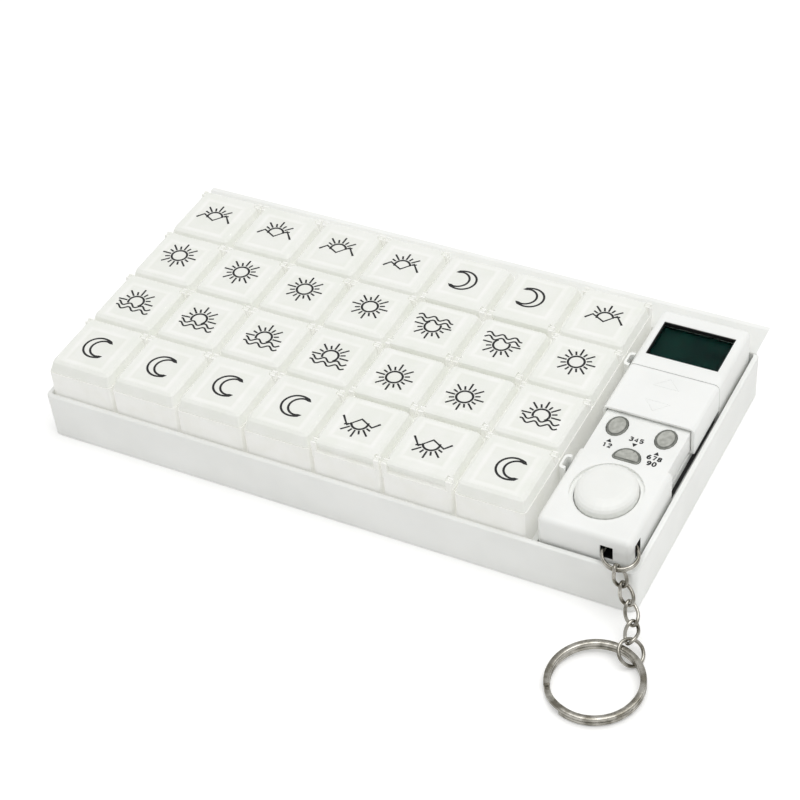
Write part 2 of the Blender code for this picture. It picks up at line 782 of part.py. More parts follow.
def set_key_outline(spread):
    """The half-moon of the middle key, its straight side to the front between two round corners."""
    corner = SET_KEY_CORNER + spread
    low = SET_KEY_CORNER - SET_KEY_CUT
    side = math.sqrt((SET_KEY_RADIUS - SET_KEY_CORNER) ** 2 - low ** 2)
    turn = math.atan2(low, side)
    points = arc((side, low), corner, -math.pi / 2, turn, CORNER_STEPS)
    points += arc((0, 0), SET_KEY_RADIUS + spread, turn, math.pi - turn, SET_KEY_STEPS)[1:-1]
    return points + arc((-side, low), corner, math.pi - turn, math.pi * 1.5, CORNER_STEPS)


def place_in_timer(item, material, location=(0, 0, 0)):
    """Put a timer piece at its place, counted from the middle of the timer's front edge."""
    item.location = Vector(location) + Vector((TIMER_X, TIMER_Y, 0))
    return dress(item, material)


def build_top_shell(material):
    """The upper shell: head, key holes, dome well, display opening, ring tunnel and the cover's rails."""
    low = TIMER_SPLIT + SHELL_SEAM
    shell = rounded_outline("timer_top_shell", body_outline(), low, PANEL_TOP, TIMER_EDGE, True, SOFT_STEPS)
    join(shell, rounded_outline("top_head", head_outline(), low, TIMER_TOP, TIMER_EDGE, True, SOFT_STEPS,
                                TRACK_END))
    floor = low - OVERRUN
    for side in (-1, 1):
        cut(shell, build_relief(side, floor, TIMER_TOP))
    cut(shell, add_outline("top_bay", board_outline(0), floor, BAY_TOP))
    wide = HEAD_BAY_WIDTH / 2
    cut(shell, add_box("top_head_bay", (-wide, TRACK_END + COVER_SIDE, floor),
                       (wide, BAY_REAR, HEAD_BAY_TOP)))
    window = WINDOW_WIDTH / 2
    cut(shell, add_box("top_window", (-window, WINDOW_START, BAY_TOP),
                       (window, WINDOW_START + WINDOW_LENGTH, TIMER_TOP + OVERRUN)))
    cut(shell, add_disc("top_moat", MOAT_RADIUS, PANEL_TOP - MOAT_DEPTH, PANEL_TOP + OVERRUN,
                        place=(0, DOME_PLACE), stretch=MOAT_STRETCH))
    cut(shell, add_disc("top_dome_hole", DOME_RADIUS + KEY_CLEARANCE, BAY_TOP - OVERRUN, PANEL_TOP,
                        place=(0, DOME_PLACE), stretch=DOME_STRETCH))
    for side in (-1, 1):
        place = (side * ROUND_KEY_SPREAD / 2, ROUND_KEY_PLACE)
        cut(shell, add_disc("top_key_hole", ROUND_KEY_RADIUS + KEY_CLEARANCE, BAY_TOP - OVERRUN,
                            PANEL_TOP + OVERRUN, KEY_SIDES, place, ROUND_KEY_STRETCH))
        cut(shell, add_disc("top_key_pocket", ROUND_KEY_RADIUS + KEY_FLANGE + KEY_CLEARANCE,
                            BAY_TOP - KEY_POCKET, BAY_TOP + GAP / 2, KEY_SIDES, place, ROUND_KEY_STRETCH))
    hole = add_outline("top_set_hole", set_key_outline(KEY_CLEARANCE), BAY_TOP - OVERRUN,
                       PANEL_TOP + OVERRUN)
    hole.data.transform(Matrix.Translation((0, SET_KEY_PLACE, 0)))
    cut(shell, hole)
    cut(shell, build_tunnel())
    for side in (-1, 1):
        cut(shell, build_rail(side))
    for place in screw_places():
        cut(shell, add_disc("top_screw_hole", SCREW_RADIUS + GAP, low - OVERRUN,
                            screw_tip() + GAP, SMALL_SIDES, place))
    return place_in_timer(shell, material)


def build_tunnel():
    """The bent tunnel through the front right corner, which leaves a post for the ring."""
    half = TIMER_WIDTH / 2
    inner = half - POST_WIDTH - TUNNEL_WIDTH
    deep = POST_DEPTH + TUNNEL_WIDTH
    points = [(inner, -OVERRUN), (half - POST_WIDTH, -OVERRUN), (half - POST_WIDTH, POST_DEPTH),
              (half + OVERRUN, POST_DEPTH), (half + OVERRUN, deep), (inner, deep)]
    return add_outline("top_tunnel", points, TUNNEL_TOP - TUNNEL_HEIGHT, TUNNEL_TOP)


def screw_places():
    """Where the two screws stand in the timer's plan."""
    front = (TIMER_WIDTH * FRONT_SCREW_SHARE, SHELL_FRONT_WALL * SCREW_INSET_SHARE)
    rear = (0, TIMER_LENGTH - SHELL_REAR_WALL * SCREW_INSET_SHARE)
    return (front, rear)


def screw_tip():
    """The height of a screw's tip."""
    return TIMER_BOTTOM + SCREW_SINK + SCREW_HEAD_HEIGHT + SCREW_LENGTH


def build_back_shell(material):
    """The timer's lower shell: battery bay, door opening, screw wells and room beside the cover."""
    high = TIMER_SPLIT - SHELL_SEAM
    shell = rounded_outline("timer_back_shell", back_outline(), TIMER_BOTTOM, high, TIMER_FOOT_ROUND, False)
    floor = TIMER_BOTTOM + SHELL_FLOOR
    cut(shell, add_outline("back_bay", board_outline(0), floor, high + OVERRUN))
    half = CELL_BAY_WIDTH / 2 + GAP
    wall = BAY_WALL_REAR - BAY_WALL
    join(shell, add_box("back_bay_wall", (-half, wall, floor - GAP), (half, BAY_WALL_REAR, high - GAP)))
    for side in (-1, 1):
        cut(shell, build_relief(side, TRACK_FOOT, high + OVERRUN))
    wide = DOOR_WIDTH / 2
    cut(shell, add_box("back_door_rebate", (-wide - GAP, door_start() - GAP, TIMER_BOTTOM - OVERRUN),
                       (wide + GAP, door_end() + GAP, TIMER_BOTTOM + DOOR_THICKNESS + GAP)))
    wide -= DOOR_LEDGE
    cut(shell, add_box("back_door_opening", (-wide, door_start() + DOOR_LEDGE, TIMER_BOTTOM),
                       (wide, door_end() - DOOR_LEDGE, floor + GAP)))
    for place in screw_places():
        cut(shell, add_disc("back_screw_hole", SCREW_RADIUS + GAP, TIMER_BOTTOM, high + OVERRUN,
                            SMALL_SIDES, place))
        cut(shell, add_disc("back_screw_well", SCREW_HEAD_RADIUS + GAP, TIMER_BOTTOM - OVERRUN,
                            TIMER_BOTTOM + SCREW_SINK + SCREW_HEAD_HEIGHT + GAP, SMALL_SIDES, place))
    cut(shell, add_disc("back_sound_hole", BUZZER_PORT_RADIUS, TIMER_BOTTOM - OVERRUN, floor + OVERRUN,
                        SMALL_SIDES, (0, DOME_PLACE)))
    return place_in_timer(shell, material)


def back_outline():
    """The lower shell's plan, a round-cornered rectangle."""
    half = TIMER_WIDTH / 2
    side = half - TIMER_CORNER
    centres = ((side, TIMER_CORNER), (side, TIMER_LENGTH - TIMER_CORNER),
               (-side, TIMER_LENGTH - TIMER_CORNER), (-side, TIMER_CORNER))
    points = []
    for number, centre in enumerate(centres):
        start = math.pi / 2 * (number - 1)
        points += arc(centre, TIMER_CORNER, start, start + math.pi / 2, CORNER_STEPS)
    return points


def build_relief(side, low, high):
    """The space at one side of a shell for the slide cover's travel."""
    outer = side * (TIMER_WIDTH / 2 + OVERRUN)
    inner = side * (TIMER_WIDTH / 2 - TRACK_DEPTH)
    return add_box("side_relief", (min(outer, inner), TRACK_START, low),
                   (max(outer, inner), TRACK_END, high))


def build_rail(side):
    """The groove along one side of the neck in which the slide cover's hook runs."""
    outer = side * (TIMER_WIDTH / 2 + OVERRUN)
    inner = side * (TIMER_WIDTH / 2 - COVER_SIDE - COVER_HOOK - GAP * 2)
    return add_box("top_rail", (min(outer, inner), TRACK_START - GAP / 2, COVER_FOOT - GAP),
                   (max(outer, inner), TRACK_END + GAP / 2, COVER_FOOT + COVER_HOOK_HEIGHT + GAP))


def door_start():
    """The front edge of the battery door."""
    return BATTERY_FRONT - GAP * 2


def door_end():
    """The rear edge of the battery door."""
    return BAY_REAR - GAP


def build_door(material):
    """The battery door, a plate with three finger grooves."""
    wide = DOOR_WIDTH / 2
    shape = block((-wide, door_start(), TIMER_BOTTOM), (wide, door_end(), TIMER_BOTTOM + DOOR_THICKNESS))
    door = add_mesh("battery_door", shape)
    length = door_end() - door_start()
    for share in DOOR_GRIP_SHARES:
        middle = door_start() + length * share
        cut(door, add_box("door_grip", (-DOOR_GRIP_LENGTH / 2, middle - DOOR_GRIP_WIDTH / 2,
                                        TIMER_BOTTOM - OVERRUN),
                          (DOOR_GRIP_LENGTH / 2, middle + DOOR_GRIP_WIDTH / 2,
                           TIMER_BOTTOM + DOOR_GRIP_DEPTH)))
    return place_in_timer(door, material)


def build_cover(material):
    """The slide cover: a channel that wraps the timer and hooks into its rails."""
    half = TIMER_WIDTH / 2
    corner = TIMER_EDGE
    shoulder = TIMER_TOP - corner
    inner = half - COVER_SIDE
    hook = inner - COVER_HOOK
    ledge = COVER_FOOT + COVER_HOOK_HEIGHT
    ceiling = TIMER_TOP - COVER_TOP
    points = [(hook, COVER_FOOT), (half, COVER_FOOT)]
    points += arc((half - corner, shoulder), corner, 0, math.pi / 2, CORNER_STEPS)
    points += arc((corner - half, shoulder), corner, math.pi / 2, math.pi, CORNER_STEPS)
    points += [(-half, COVER_FOOT), (-hook, COVER_FOOT), (-hook, ledge), (-inner, ledge)]
    points += [(-inner, ceiling), (inner, ceiling), (inner, ledge), (hook, ledge)]
    cover = stand_outline(add_outline("slide_cover", points, -COVER_LENGTH, 0), ALONG_Y)
    smooth(cover.data)
    return place_in_timer(cover, material, (0, cover_start(), 0))


def cover_start():
    """The front edge of the slide cover when it is back against the head."""
    return TRACK_END - GAP - COVER_LENGTH


def build_display(window_material, panel_material):
    """The clear window under the head's opening, and the display panel below it."""
    wide = WINDOW_WIDTH / 2 + WINDOW_LAP
    start = WINDOW_START - WINDOW_LAP
    end = WINDOW_START + WINDOW_LENGTH + WINDOW_LAP
    high = HEAD_BAY_TOP - GAP
    low = high - WINDOW_THICKNESS
    window = add_box("display_window", (-wide, start, low), (wide, end, high))
    place_in_timer(window, window_material)
    wide -= PANEL_INSET
    panel = add_box("display_panel", (-wide, start + PANEL_INSET, BOARD_TOP + GAP),
                    (wide, end - PANEL_INSET, low - GAP))
    place_in_timer(panel, panel_material)


def key_profile(radius, proud):
    """Half section of a round key: cap, neck and flange."""
    top = PANEL_TOP + proud
    base = KEY_FLANGE_TOP - KEY_FLANGE_THICKNESS
    return [(0, top), (radius - proud, top), (radius, top - proud), (radius, KEY_FLANGE_TOP),
            (radius + KEY_FLANGE, KEY_FLANGE_TOP), (radius + KEY_FLANGE, base), (0, base)]


def build_keys(material):
    """The two oval keys and the half-moon key under the slide cover's travel."""
    for name, side in (("hour_key", -1), ("minute_key", 1)):
        key = add_turned(name, key_profile(ROUND_KEY_RADIUS, KEY_PROUD), KEY_SIDES)
        fixed_mesh(key, Matrix.Diagonal((1, ROUND_KEY_STRETCH, 1, 1)))
        place_in_timer(key, material, (side * ROUND_KEY_SPREAD / 2, ROUND_KEY_PLACE, 0))
    key = rounded_outline("set_key", set_key_outline(0), KEY_FLANGE_TOP - GAP, PANEL_TOP + KEY_PROUD,
                          KEY_PROUD, True)
    join(key, add_outline("set_key_flange", set_key_outline(KEY_FLANGE),
                          KEY_FLANGE_TOP - KEY_FLANGE_THICKNESS, KEY_FLANGE_TOP))
    place_in_timer(key, material, (0, SET_KEY_PLACE, 0))


def build_dome(material):
    """The big domed stop key in its well, flat in the middle and round at its edge."""
    top = PANEL_TOP + DOME_PROUD
    shoulder = PANEL_TOP - MOAT_DEPTH + DOME_SHOULDER
    turns = [math.pi / 2 * step / DOME_STEPS for step in range(1, DOME_STEPS)]
    rise = top - shoulder
    profile = [(0, top)]
    profile += [(DOME_RADIUS * math.sin(turn) ** DOME_ROUNDNESS_SHARE,
                 shoulder + rise * math.cos(turn) ** DOME_ROUNDNESS_SHARE) for turn in turns]
    base = KEY_FLANGE_TOP - KEY_FLANGE_THICKNESS
    rim = DOME_RADIUS + DOME_FLANGE
    profile += [(DOME_RADIUS, shoulder), (DOME_RADIUS, KEY_FLANGE_TOP), (rim, KEY_FLANGE_TOP),
                (rim, base), (0, base)]
    dome = add_turned("stop_dome", profile, DOME_SIDES)
    fixed_mesh(dome, Matrix.Diagonal((1, DOME_STRETCH, 1, 1)))
    place_in_timer(dome, material, (0, DOME_PLACE, 0))


def build_board(material):
    """The circuit board, with a contact leaf down to the front end of each battery."""
    board = add_outline("circuit_board", board_outline(GAP), BOARD_BOTTOM, BOARD_TOP)
    front = BATTERY_FRONT - GAP - CONTACT_THICKNESS
    for side in (-1, 1):
        middle = side * BATTERY_SPREAD
        low = (middle - CONTACT_WIDTH / 2, front, BOARD_BOTTOM - CONTACT_REACH)
        high = (middle + CONTACT_WIDTH / 2, front + CONTACT_THICKNESS, BOARD_BOTTOM + BOARD_THICKNESS / 2)
        join(board, add_box("board_contact", low, high))
    place_in_timer(board, material)


def build_batteries(material, metal):
    """Two small round batteries, laid head to tail, and the plate that bridges them at the rear."""
    body = BATTERY_LENGTH
    tip = body + BATTERY_NUB_LENGTH
    edge = BATTERY_EDGE
    profile = [(0, tip), (BATTERY_NUB_RADIUS, tip), (BATTERY_NUB_RADIUS, body),
               (BATTERY_RADIUS - edge, body), (BATTERY_RADIUS, body - edge), (BATTERY_RADIUS, edge),
               (BATTERY_RADIUS - edge, 0), (0, 0)]
    for name, side in (("battery_left", -1), ("battery_right", 1)):
        battery = add_turned(name, profile, SMALL_SIDES)
        start = BATTERY_FRONT if side < 0 else BATTERY_REAR
        place_in_timer(battery, material, (side * BATTERY_SPREAD, start, BATTERY_HEIGHT))
        battery.rotation_euler = (side * math.pi / 2, 0, 0)
    half = BATTERY_SPREAD + CONTACT_WIDTH / 2
    low = TIMER_BOTTOM + SHELL_FLOOR + GAP
    bridge = add_box("battery_bridge", (-half, BATTERY_REAR + GAP, low),
                     (half, BATTERY_REAR + GAP + CONTACT_THICKNESS, BOARD_BOTTOM - GAP))
    place_in_timer(bridge, metal)


def build_buzzer(material):
    """The round buzzer on the lower shell's floor, its sound port upwards."""
    low = TIMER_BOTTOM + SHELL_FLOOR + GAP
    high = low + BUZZER_HEIGHT
    port = high - BUZZER_PORT_DEPTH
    profile = [(0, port), (BUZZER_PORT_RADIUS, port), (BUZZER_PORT_RADIUS, high), (BUZZER_RADIUS, high),
               (BUZZER_RADIUS, low), (0, low)]
    place_in_timer(add_turned("buzzer", profile, SMALL_SIDES), material, (0, DOME_PLACE, 0))


def build_screws(material):
    """The two screws that hold the timer's shells together."""
    low = TIMER_BOTTOM + SCREW_SINK
    seat = low + SCREW_HEAD_HEIGHT
    profile = [(0, screw_tip()), (SCREW_RADIUS, screw_tip()), (SCREW_RADIUS, seat),
               (SCREW_HEAD_RADIUS, seat), (SCREW_HEAD_RADIUS, low), (0, low)]
    for name, place in zip(("screw_front", "screw_rear"), screw_places()):
        place_in_timer(add_turned(name, profile, SCREW_SIDES), material, (*place, 0))


def heading_vector(lean, heading):
    """A direction that leans from straight down towards a heading."""
    side = math.sin(lean)
    return Vector((side * math.cos(heading), side * math.sin(heading), -math.cos(lean)))


def frame_on(direction, across):
    """A turn whose X runs along a direction and whose Y lies near another one."""
    x = direction.normalized()
    y = (across - x * across.dot(x)).normalized()
    return Matrix((x, y, x.cross(y))).transposed()


def place_by(item, place, turn, material):
    """Put a chain piece at its pivot with a turn."""
    item.matrix_world = Matrix.Translation(place) @ turn.to_4x4()
    return dress(item, material)


def build_link(name, start):
    """A twisted wire link, whose near end lies behind its pivot by a start."""
    half = LINK_LENGTH / 2 - LINK_WIRE
    wide = LINK_WIDTH / 2 - LINK_WIRE
    curve = bpy.data.curves.new(name, 'CURVE')
    curve.dimensions = '3D'
    curve.bevel_depth = LINK_WIRE
    curve.bevel_resolution = 1
    curve.use_fill_caps = True
    line = curve.splines.new('POLY')
    line.points.add(LINK_POINTS - 1)
    for number, spot in enumerate(line.points):
        turn = math.tau * number / LINK_POINTS
        along = -math.cos(turn)
        aside = wide * math.copysign(abs(math.sin(turn)) ** LINK_ROUNDNESS_SHARE, math.sin(turn))
        twist = LINK_TWIST * (along + 1) / 2
        spot.co = (half * (along + 1) - start, aside * math.cos(twist), aside * math.sin(twist), 1)
    line.use_cyclic_u = True
    guide = bpy.data.objects.new(name + "_wire", curve)
    PARTS.objects.link(guide)
    mesh = applied_mesh(guide, name)
    bpy.data.objects.remove(guide, do_unlink=True)
    bpy.data.curves.remove(curve)
    item = bpy.data.objects.new(name, mesh)
    PARTS.objects.link(item)
    smooth(mesh)
    return item


def build_keychain(material):
    """The ring through the timer's corner post, four twisted links, a jump ring and a split ring."""
    centre = Vector((TIMER_X + TIMER_WIDTH / 2 - CORNER_RING_INSET_X, TIMER_Y + CORNER_RING_INSET_Y,
                     CORNER_RING_HEIGHT))
    outward = heading_vector(math.pi / 2 - CORNER_RING_TILT, CORNER_RING_HEADING)
    across = Vector((-math.sin(CORNER_RING_HEADING), math.cos(CORNER_RING_HEADING), 0))
    turn = frame_on(outward, across)
    ring = add_ring("corner_ring", CORNER_RING_RADIUS, CORNER_RING_WIRE)
    ring.data.transform(Matrix.Translation((CORNER_RING_RADIUS, 0, 0)))
    place_by(ring, centre - outward * CORNER_RING_RADIUS, turn, material)
    pivot = centre + outward * CORNER_RING_RADIUS
    wire = LINK_WIRE * 2 + LINK_SLACK
    start = CORNER_RING_WIRE + LINK_WIRE + LINK_SLACK
    tip_across = across
    span = LINK_LENGTH - LINK_WIRE * 2
    for number, (lean, heading) in enumerate(zip(LINK_LEANS, LINK_HEADINGS), 1):
        direction = heading_vector(lean, heading)
        near = direction.cross(tip_across)
        turn = frame_on(direction, near)
        place_by(build_link(f"chain_link_{number}", start), pivot, turn, material)
        twist = Matrix.Rotation(LINK_TWIST, 3, direction)
        tip_across = twist @ (turn @ Vector((0, 1, 0)))
        pivot = pivot + direction * (span - start)
        start = wire
    build_rings(pivot, material)


def build_rings(pivot, material):
    """The jump ring on the last link's tip, and the split ring that it holds."""
    ahead = heading_vector(math.pi / 2, JUMP_RING_HEADING)
    side = Vector((-math.sin(JUMP_RING_HEADING), math.cos(JUMP_RING_HEADING), 0))
    across = Matrix.Rotation(JUMP_RING_TILT, 3, ahead) @ side
    turn = frame_on(ahead, across)
    turn = turn @ Matrix.Rotation(JUMP_RING_TURN, 3, 'Z')
    ring = add_ring("jump_ring", JUMP_RING_RADIUS, JUMP_RING_WIRE)
    reach = JUMP_RING_RADIUS - JUMP_RING_WIRE - LINK_WIRE - LINK_SLACK
    ring.data.transform(Matrix.Translation((reach, 0, 0)))
    place_by(ring, pivot, turn, material)
    middle = pivot + turn @ Vector((reach, 0, 0)) + ahead * JUMP_RING_PLAY
    build_split_ring(middle, ahead, material)


def build_split_ring(place, ahead, material):
    """The split ring, two turns of flat wire, tilted so that its far side lies on the table."""
    dip = Matrix.Rotation(SPLIT_RING_LIFT, 3, Vector((0, 0, 1)).cross(ahead))
    turn = frame_on(dip @ ahead, Vector((0, 0, 1)).cross(ahead))
    height = SPLIT_RING_HEIGHT + SPLIT_RING_GAP / 2
    wide = SPLIT_RING_WIDTH / 2
    inner = SPLIT_RING_RADIUS - wide
    outer = SPLIT_RING_RADIUS + wide
    edge = SPLIT_RING_HEIGHT / 4
    profile = [(inner + edge, height), (outer - edge, height), (outer, height - edge),
               (outer, SPLIT_RING_GAP), (outer - edge, 0), (outer, -SPLIT_RING_GAP),
               (outer, edge - height), (outer - edge, -height), (inner + edge, -height),
               (inner, edge - height), (inner, height - edge)]
    ring = add_turned("split_ring", profile, SPLIT_RING_STEPS, closed=True)
    fixed_mesh(ring, Matrix.Translation((SPLIT_RING_RADIUS, 0, 0)))
    place_by(ring, place, turn, material)


def build():
    """Make every piece."""
    white = finish_material("white_plastic", (0.90, 0.90, 0.88), 0.38)
    frosted = finish_material("frosted_plastic", (0.80, 0.82, 0.79), 0.45)
    rubber = finish_material("grey_rubber", (0.33, 0.34, 0.32), 0.70)
    clear = finish_material("clear_window", (0.02, 0.05, 0.05), 0.10)
    glass = finish_material("display_glass", (0.01, 0.02, 0.02), 0.20)
    green = finish_material("board_green", (0.03, 0.20, 0.08), 0.50)
    steel = finish_material("nickel_steel", (0.62, 0.61, 0.58), 0.22, 1.0)
    dark = finish_material("battery_wrap", (0.05, 0.05, 0.06), 0.40)
    black = finish_material("buzzer_black", (0.02, 0.02, 0.02), 0.50)
    build_tray(white)
    build_strips(frosted, frosted)
    build_top_shell(white)
    build_back_shell(white)
    build_door(white)
    build_cover(white)
    build_display(clear, glass)
    build_keys(rubber)
    build_dome(white)
    build_board(green)
    build_batteries(dark, steel)
    build_buzzer(black)
    build_screws(steel)
    build_keychain(steel)


build()
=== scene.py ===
"""The dressed scene of an electronic pill organizer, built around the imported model.

The frame gives every solid at its place, in metres, with +Z up. This file adds the finishes, the
printed signs, the moulded marks and the keychain's fine metalwork, and the floor, the lamp and
the camera.
"""

from __future__ import annotations

import json
import logging
import math
from dataclasses import dataclass
from enum import Enum
from typing import Iterable, Sequence

import bmesh
import bpy
from mathutils import Matrix, Vector

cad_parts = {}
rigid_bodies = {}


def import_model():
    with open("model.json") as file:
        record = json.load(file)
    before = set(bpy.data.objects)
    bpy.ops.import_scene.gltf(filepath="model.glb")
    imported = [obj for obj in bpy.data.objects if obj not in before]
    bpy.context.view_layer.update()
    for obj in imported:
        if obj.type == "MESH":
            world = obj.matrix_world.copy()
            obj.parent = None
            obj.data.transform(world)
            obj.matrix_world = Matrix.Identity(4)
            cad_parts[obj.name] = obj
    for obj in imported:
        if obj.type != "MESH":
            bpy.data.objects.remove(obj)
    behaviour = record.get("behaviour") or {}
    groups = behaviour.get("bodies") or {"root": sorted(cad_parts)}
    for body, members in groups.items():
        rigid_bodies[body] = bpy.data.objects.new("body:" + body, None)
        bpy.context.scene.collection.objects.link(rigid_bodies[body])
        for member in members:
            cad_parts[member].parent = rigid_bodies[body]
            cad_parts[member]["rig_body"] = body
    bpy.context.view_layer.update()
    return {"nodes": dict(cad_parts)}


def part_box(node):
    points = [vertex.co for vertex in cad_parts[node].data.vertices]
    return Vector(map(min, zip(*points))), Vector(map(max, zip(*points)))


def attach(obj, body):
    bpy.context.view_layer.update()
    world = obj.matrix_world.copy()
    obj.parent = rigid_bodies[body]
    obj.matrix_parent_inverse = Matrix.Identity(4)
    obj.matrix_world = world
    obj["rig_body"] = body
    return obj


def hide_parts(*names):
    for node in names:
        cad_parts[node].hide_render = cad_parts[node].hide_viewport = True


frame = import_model()

Shape = bmesh.types.BMesh
Material = bpy.types.Material
Node = bpy.types.Node
Socket = bpy.types.NodeSocket
Point = tuple[float, ...]
Stroke = tuple[Sequence[Point], bool]

log = logging.getLogger("pill_organizer")
MM = 0.001
STRIPS = range(1, 8)
TURNED_STRIPS = (5, 6)


def mm(*lengths: float) -> Point:
    """Lengths in millimetres, turned to metres."""
    return tuple(length * MM for length in lengths)


def linear(code: str) -> tuple[float, float, float, float]:
    """Turn an sRGB hex colour to linear light.

    Args:
        code: Six hex digits, red first.

    Returns:
        Red, green and blue in linear light, and an alpha of 1.
    """
    def channel(place: int) -> float:
        """One channel, from its place in the code."""
        value = int(code[place:place + 2], 16) / 255
        return value / 12.92 if value <= 0.04045 else ((value + 0.055) / 1.055) ** 2.4

    return channel(0), channel(2), channel(4), 1.0


def fill_node(node: Node, settings: dict | None = None, links: dict | None = None) -> Node:
    """Set a shader node's values and link its inputs.

    Args:
        node: The node.
        settings: Values by attribute name, or by input name or number. The stops of a colour ramp
            are places and hex colours.
        links: What feeds an input, by its name or number: a socket, or a node's first output.

    Returns:
        The same node.
    """
    for name, value in (settings or {}).items():
        if name == "stops":
            elements = node.color_ramp.elements
            while len(elements) < len(value):
                elements.new(0.5)
            for element, (place, code) in zip(elements, value):
                element.position = place
                element.color = linear(code)
        elif isinstance(name, str) and hasattr(node, name):
            setattr(node, name, value)
        else:
            node.inputs[name].default_value = value
    for name, source in (links or {}).items():
        socket = source.outputs[0] if isinstance(source, Node) else source
        node.id_data.links.new(socket, node.inputs[name])
    return node


def add_node(beside: Node, kind: str, settings: dict | None = None,
             links: dict | None = None) -> Node:
    """Add a shader node of a kind to another node's tree, with its settings and links."""
    return fill_node(beside.id_data.nodes.new("ShaderNode" + kind), settings, links)


def lumps(size: float, detail: float = 2.0) -> dict[str, float]:
    """The settings of a noise whose lumps are about a real size across, in metres."""
    return {"Scale": 1 / size, "Detail": detail}


def spread(low: float, high: float) -> dict[str, float]:
    """The settings that spread a noise's middle range over a low and a high value."""
    return {"From Min": 0.3, "From Max": 0.7, "To Min": low, "To Max": high}


def lay_patterns(shader: Node, tone: Node, stops: Sequence[tuple[float, str]], gloss: Node,
                 roughness: Point, relief: Node | None = None, depth: float = 0.0) -> Node:
    """Let patterns drive a shader's colour, its roughness and its fine relief.

    Args:
        shader: The Principled shader.
        tone: The pattern behind the colour.
        stops: The colour's stops, as places and hex colours.
        gloss: The pattern behind the roughness.
        roughness: The roughness at the two ends of that pattern's middle range.
        relief: The pattern behind the relief, where there is one.
        depth: The relief's real depth, in metres.

    Returns:
        The ramp that gives the colour.
    """
    colour = add_node(shader, "ValToRGB", {"stops": stops}, {"Fac": tone})
    rough = add_node(shader, "MapRange", spread(*roughness), {"Value": gloss})
    fill_node(shader, links={"Base Color": colour, "Roughness": rough})
    if relief:
        bump = add_node(shader, "Bump", {"Distance": depth}, {"Height": relief})
        fill_node(shader, links={"Normal": bump})
    return colour


class Finish:
    """A finish, which lays its patterns on a shader by the object's own coordinates."""

    name: str

    def make(self) -> Material:
        """Build the material.

        Returns:
            The material.
        """
        material = bpy.data.materials.new(self.name)
        material.use_nodes = True
        shader = material.node_tree.nodes["Principled BSDF"]
        self.lay(shader, add_node(shader, "TexCoord").outputs["Object"])
        return material

    def lay(self, shader: Node, space: Socket) -> None:
        """Lay the patterns, which each finish has of its own.

        Args:
            shader: The Principled shader.
            space: Object coordinates.
        """
        raise NotImplementedError


@dataclass(frozen=True)
class MouldedPlastic(Finish):
    """Injection-moulded ABS or polypropylene: an even colour with faint flow clouds, a fine mould
    grain that breaks up the gloss, and a soft sheen on the edges. The grain is drawn coarser than
    the real one, which is too fine to show."""

    name: str
    light: str
    dark: str
    roughness: float
    uneven: float = 0.05
    grain_size: float = 0.5 * MM
    grain_depth: float = 0.012 * MM
    cloud_size: float = 22.0 * MM

    def lay(self, shader: Node, space: Socket) -> None:
        """Lay the patterns."""
        clouds = add_node(shader, "TexNoise", lumps(self.cloud_size, 3.0), {"Vector": space})
        fine = add_node(shader, "TexNoise", lumps(self.grain_size), {"Vector": space})
        lay_patterns(shader, clouds, ((0.35, self.dark), (0.65, self.light)), fine,
                     (self.roughness - self.uneven, self.roughness + self.uneven),
                     fine, self.grain_depth)
        fill_node(shader, {"IOR": 1.5, "Subsurface Weight": 0.12, "Subsurface Scale": 1.2 * MM,
                           "Subsurface Radius": (1.0, 0.95, 0.9)})


